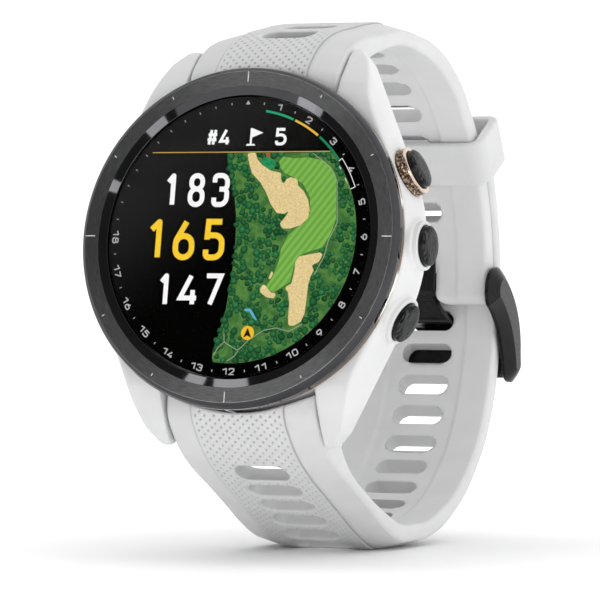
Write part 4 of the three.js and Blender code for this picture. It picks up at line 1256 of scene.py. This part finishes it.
def make_straps():
    strap_piece("strap_lower", "lower_strap", LOWER_STATIONS, LOWER_SLOTS, -1, 33.0)
    # The buckle's end has a notch for the tongue: its half width, where it starts, and its flared corners
    notch = (2.35, StrapLine(UPPER_STATIONS).length - 4.4, 1.3)
    strap_piece("strap_upper", "upper_strap", UPPER_STATIONS, UPPER_SLOTS, 1, 30.0, notch)


# ------------------------------------------------------------------ keeper
def make_keeper():
    inner, outer = WRIST_RADIUS - 0.3, TAIL_RADIUS + TAIL_THICKNESS + 0.3
    half = BUCKLE_HALF_WIDTH + 0.3
    band = fillet([(-half - 1.3, inner - 0.9), (half + 1.3, inner - 0.9), (half + 1.3, outer + 0.9),
                   (-half - 1.3, outer + 0.9)], [2.4, 2.4, 1.5, 1.5], 10)
    mouth = fillet([(-half, inner), (half, inner), (half, outer), (-half, outer)], 0.7, 10)
    angle = math.radians(29.6)
    outwards = Vector((0, math.cos(angle), math.sin(angle)))
    along = Vector((1, 0, 0)).cross(outwards)
    place = WATCH @ axes((1, 0, 0), outwards, along, Vector((0, *WRIST_CENTRE)))
    count = len(band)
    vertices = [(x, y, z) for z in (-3.1, 3.1) for ring in (band, mouth) for x, y in ring]
    faces = []
    for i in range(count):
        k = (i + 1) % count
        low_out, low_in, high_out, high_in = 0, count, 2 * count, 3 * count
        faces += [[low_out + i, low_out + k, high_out + k, high_out + i],
                  [low_in + k, low_in + i, high_in + i, high_in + k],
                  [high_out + i, high_out + k, high_in + k, high_in + i],
                  [low_in + i, low_in + k, low_out + k, low_out + i]]
    piece("keeper_band", vertices, faces, place, "keeper", SILICONE, ["keeper_loop"], 50,
          0.35, segments=4)


# ------------------------------------------------------------------ buckle
def bezier(start, one, two, end, steps=14):
    """Points of a cubic curve after its start."""
    out = []
    for k in range(1, steps + 1):
        t = k / steps
        out.append(tuple((1 - t) ** 3 * a + 3 * (1 - t) ** 2 * t * b + 3 * (1 - t) * t * t * c + t ** 3 * d
                         for a, b, c, d in zip(start, one, two, end)))
    return out


def slab(outline, from_x, to_x):
    """A flat outline in Y and Z, made solid along X."""
    vertices = [(x, y, z) for x in (from_x, to_x) for y, z in outline]
    count = len(outline)
    faces = [[i, (i + 1) % count, count + (i + 1) % count, count + i] for i in range(count)]
    faces += [list(range(count))[::-1], [count + i for i in range(count)]]
    return vertices, faces


def make_buckle():
    arm = arc(SPRING_BAR, 3.2, 215, 45, 28)
    arm += bezier(arm[-1], (65.3, -7.6), (67.2, -11.6), (66.9, -15.6))
    arm += arc((FAR_BAR.x - 0.55, FAR_BAR.y + 0.3), 2.45, 10, -165, 18)
    arm += bezier(arm[-1], (61.9, -15.2), (60.9, -11.8), (56.8, -9.2))[:-1]
    levels = ((9.9, 0.2), (10.05, 0.0), (10.5, 0), (11.25, 0.95), (11.6, 1.6))
    root = fillet([(64.2, -19), (66, -19), (66.4, -13), (64.6, -12.4)], 0.7, 5)
    for name, sign in (("right", 1), ("left", -1)):
        rings = [[(sign * x, y, z) for y, z in grown(arm[::-1], -inset)] for x, inset in levels]
        made = mesh_object(f"buckle_arm_{name}", *loft(rings), WATCH)
        carve(made, slab(root[::-1], sign * 8.3, sign * 10.2), WATCH)
        settle(made, "buckle", BLACK, ["buckle_frame"] if sign > 0 else [], 20, 0.05, 2)
    bar = fillet([(64.1, -18.7), (65.5, -18.7), (65.7, -14.6), (64.3, -14.6)], 0.5, 5)
    far_bar = mesh_object("buckle_far_bar", *slab(bar[::-1], -10.4, 10.4), WATCH)
    settle(far_bar, "buckle", BLACK, [], 35)
    make_tongue()


def make_tongue():
    blade = [(58.2, -8.2)]
    blade += bezier(blade[-1], (58.9, -10.9), (60.6, -11.9), (62.4, -12))
    blade += bezier(blade[-1], (64.4, -12.1), (66, -13.9), (66.1, -18.4))
    blade += [(67.2, -18.4)]
    blade += bezier(blade[-1], (67.3, -13.2), (65.6, -10.8), (63.2, -10.7))
    blade += bezier(blade[-1], (61.4, -10.7), (60.2, -10.5), (59.8, -8.8))
    tongue = mesh_object("tongue_blade", *slab(blade[::-1], -4, 4), WATCH)
    # Seen from behind the blade is waisted, and its foot flares into the slot
    right = [(2, 0), (2, -7.6), (2.2, -9), (2.7, -10.2), (3.35, -11.3), (3.4, -11.9), (2.7, -13),
             (2.7, -16.4), (2.3, -18.6)]
    plan = right + [(-x, z) for x, z in right[::-1]]
    carve(tongue, loft([[(x, y, z) for x, z in plan] for y in (50, 75)]), WATCH, "INTERSECT")
    points, faces, _ = turned([(0.9, -2), (1.75, -2), (1.75, 2), (0.9, 2)], 40)
    bar = axes((0, 0, -1), (0, 1, 0), (1, 0, 0), Vector((0, *SPRING_BAR)))
    carve(tongue, (points, faces), WATCH @ bar)
    tab = fillet([(57.7, -7.4), (57.9, -3.3), (59.4, -3.25), (60.9, -7.4)], 0.3, 4)
    carve(tongue, slab(tab[::-1], -2.25, 2.25), WATCH)
    settle(tongue, "tongue", BLACK, ["buckle_tongue"], 35, 0.18)


# ------------------------------------------------------------------ CAD nodes that stay
CARRIED = {
    "lens_seal": RUBBER, "display_panel": DARK_POLYMER, "inner_frame": DARK_POLYMER, "main_board": BOARD,
    "battery": BATTERY, "vibration_motor": STEEL, "sensor_module": BOARD, "back_cover": POLYMER,
    "back_gasket": RUBBER, "sensor_window": SENSOR_GLASS, "charging_block": DARK_POLYMER,
}


def finish_for(name):
    """A CAD node's finish: listed above, or told by its name, or else steel."""
    if name in CARRIED:
        return CARRIED[name]
    if "contact" in name:
        return GOLD
    return RUBBER if "seal" in name else STEEL


def dress_cad_nodes():
    for name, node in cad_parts.items():
        if node.hide_render:
            continue
        node.data.materials.clear()
        node.data.materials.append(finish_for(name))
        node.data.shade_smooth()
        node.data.set_sharp_from_angle(angle=math.radians(30))


# ------------------------------------------------------------------ stage
DARK_SIDE = (-0.4, -0.86, 0.31)           # what the dial mirrors to the camera, dark so that it stays black
FLOOR_SPAN = 12.0                         # half the floor's side, in metres


def lamp(name, place, target, size, watts, up=Vector((0, 0, 1))):
    """A rectangular lamp at a place, facing a target."""
    data = bpy.data.lights.new(name, "AREA")
    data.shape = "RECTANGLE"
    data.size, data.size_y = size
    data.energy = watts
    obj = bpy.data.objects.new(name, data)
    bpy.context.scene.collection.objects.link(obj)
    back = (Vector(place) - Vector(target)).normalized()
    across = Vector(up).cross(back).normalized()
    obj.matrix_world = axes(across, back.cross(across), back, Vector(place))


def make_stage():
    floor_paint = Paint("floor", (0.92, 0.92, 0.92), 0.9, Specular_IOR_Level=0.0)
    floor_paint.vary("Base Color", 0.4, (0.3, (0.91, 0.91, 0.91)), (0.7, (0.93, 0.93, 0.93)))
    floor_paint.set("Emission Color", (1, 1, 1, 1))
    away = floor_paint.node("ShaderNodeVectorMath", operation="LENGTH")
    floor_paint.link(floor_paint.coords(), away.inputs[0])
    # A faint light of its own, away from the watch, keeps the floor white round its shadow
    fade = floor_paint.node("ShaderNodeMapRange", **{"From Min": 0.012, "From Max": 0.075, "To Min": 0.0,
                                                     "To Max": 0.4})
    floor_paint.link(away.outputs["Value"], fade.inputs["Value"])
    floor_paint.drive("Emission Strength", fade.outputs["Result"])
    corners = [(-FLOOR_SPAN, -FLOOR_SPAN, 0), (FLOOR_SPAN, -FLOOR_SPAN, 0), (FLOOR_SPAN, FLOOR_SPAN, 0),
               (-FLOOR_SPAN, FLOOR_SPAN, 0)]
    floor = mesh_object("floor", corners, [[0, 1, 2, 3]])
    floor.location.z = -0.00005
    floor.data.materials.append(floor_paint.material)

    scene = bpy.context.scene
    scene.view_settings.view_transform = "Standard"
    world = bpy.data.worlds.new("studio")
    scene.world = world
    world.use_nodes = True
    tree = world.node_tree
    background = tree.nodes["Background"]
    background.inputs["Color"].default_value = (1, 1, 1, 1)
    background.inputs["Strength"].default_value = 1.15
    place = tree.nodes.new("ShaderNodeTexCoord")
    facing = tree.nodes.new("ShaderNodeVectorMath")
    facing.operation = "DOT_PRODUCT"
    facing.inputs[1].default_value = DARK_SIDE
    shade = tree.nodes.new("ShaderNodeMapRange")
    shade.interpolation_type = "SMOOTHSTEP"
    for key, value in (("From Min", 0.25), ("From Max", 0.88), ("To Min", 1.0), ("To Max", 0.12)):
        shade.inputs[key].default_value = value
    tree.links.new(place.outputs["Generated"], facing.inputs[0])
    tree.links.new(facing.outputs["Value"], shade.inputs["Value"])
    tree.links.new(shade.outputs["Result"], background.inputs["Color"])

    lamp("overhead", (-0.1, -0.1, 0.6), DIAL_CENTRE, (0.5, 0.5), 0.35)
    lamp("side_right", (0.6, -0.1, 0.2), DIAL_CENTRE, (0.3, 0.4), 0.045)
    lamp("low_front", (0.14, -0.5, 0.012), (0, 0.02, 0.012), (0.3, 0.05), 0.6)
    lamp("low_left", (-0.6, -0.25, 0.04), DIAL_CENTRE, (0.3, 0.2), 0.3)
    # Small lamps that glint on the bezel's polished inner chamfer, by clock angle and width in degrees
    slope = math.radians(13)
    for index, (clock, width) in enumerate(((28, 9), (-41, 20), (-70, 5), (178, 13), (193, 6))):
        angle = math.radians(90 - clock)
        outwards = Vector((1, 0, 0)) * math.cos(angle) + UP_DIAL * math.sin(angle)
        normal = OUT_OF_DIAL * math.cos(slope) - outwards * math.sin(slope)
        spot = DIAL_CENTRE + outwards * 17.9 * MM
        seen = (camera_place() - spot).normalized()
        ray = 2 * normal.dot(seen) * normal - seen
        size = 0.5 * 2 * math.sin(slope) * math.radians(width)
        lamp(f"glint_{index}", spot + ray * 0.5, spot, (size * 0.75, 0.03), 0.3 * size, OUT_OF_DIAL)


VIEW_TURN = math.radians(23.87)
VIEW_RISE = math.radians(0.92)
LOOK = Vector((-math.sin(VIEW_TURN) * math.cos(VIEW_RISE), math.cos(VIEW_TURN) * math.cos(VIEW_RISE),
               -math.sin(VIEW_RISE)))
LOOK_RIGHT = Vector((math.cos(VIEW_TURN), math.sin(VIEW_TURN), 0))
LOOK_UP = LOOK_RIGHT.cross(LOOK)


CAMERA_DISTANCE = 541.2
CAMERA_RIGHT, CAMERA_DOWN = 7.69, 7.73    # how far the picture's middle lies from the dial's centre
FOCAL_LENGTH = 269.3


def camera_place():
    """Far in front of the dial, to its right."""
    return DIAL_CENTRE + (-LOOK * CAMERA_DISTANCE + LOOK_RIGHT * CAMERA_RIGHT - LOOK_UP * CAMERA_DOWN) * MM


def make_camera():
    """The camera looks almost level, from far away through a long lens."""
    data = bpy.data.cameras.new("camera")
    data.sensor_width = 36
    data.lens = FOCAL_LENGTH
    data.clip_start, data.clip_end = 0.01, 20
    camera = bpy.data.objects.new("camera", data)
    bpy.context.scene.collection.objects.link(camera)
    camera.matrix_world = axes(LOOK_RIGHT, LOOK_UP, -LOOK, camera_place())
    bpy.context.scene.camera = camera


make_camera()
make_stage()
make_bezel()
make_lens()
make_figures()
make_scale()
make_map()
make_case()
make_buttons()
make_straps()
make_keeper()
make_buckle()
dress_cad_nodes()
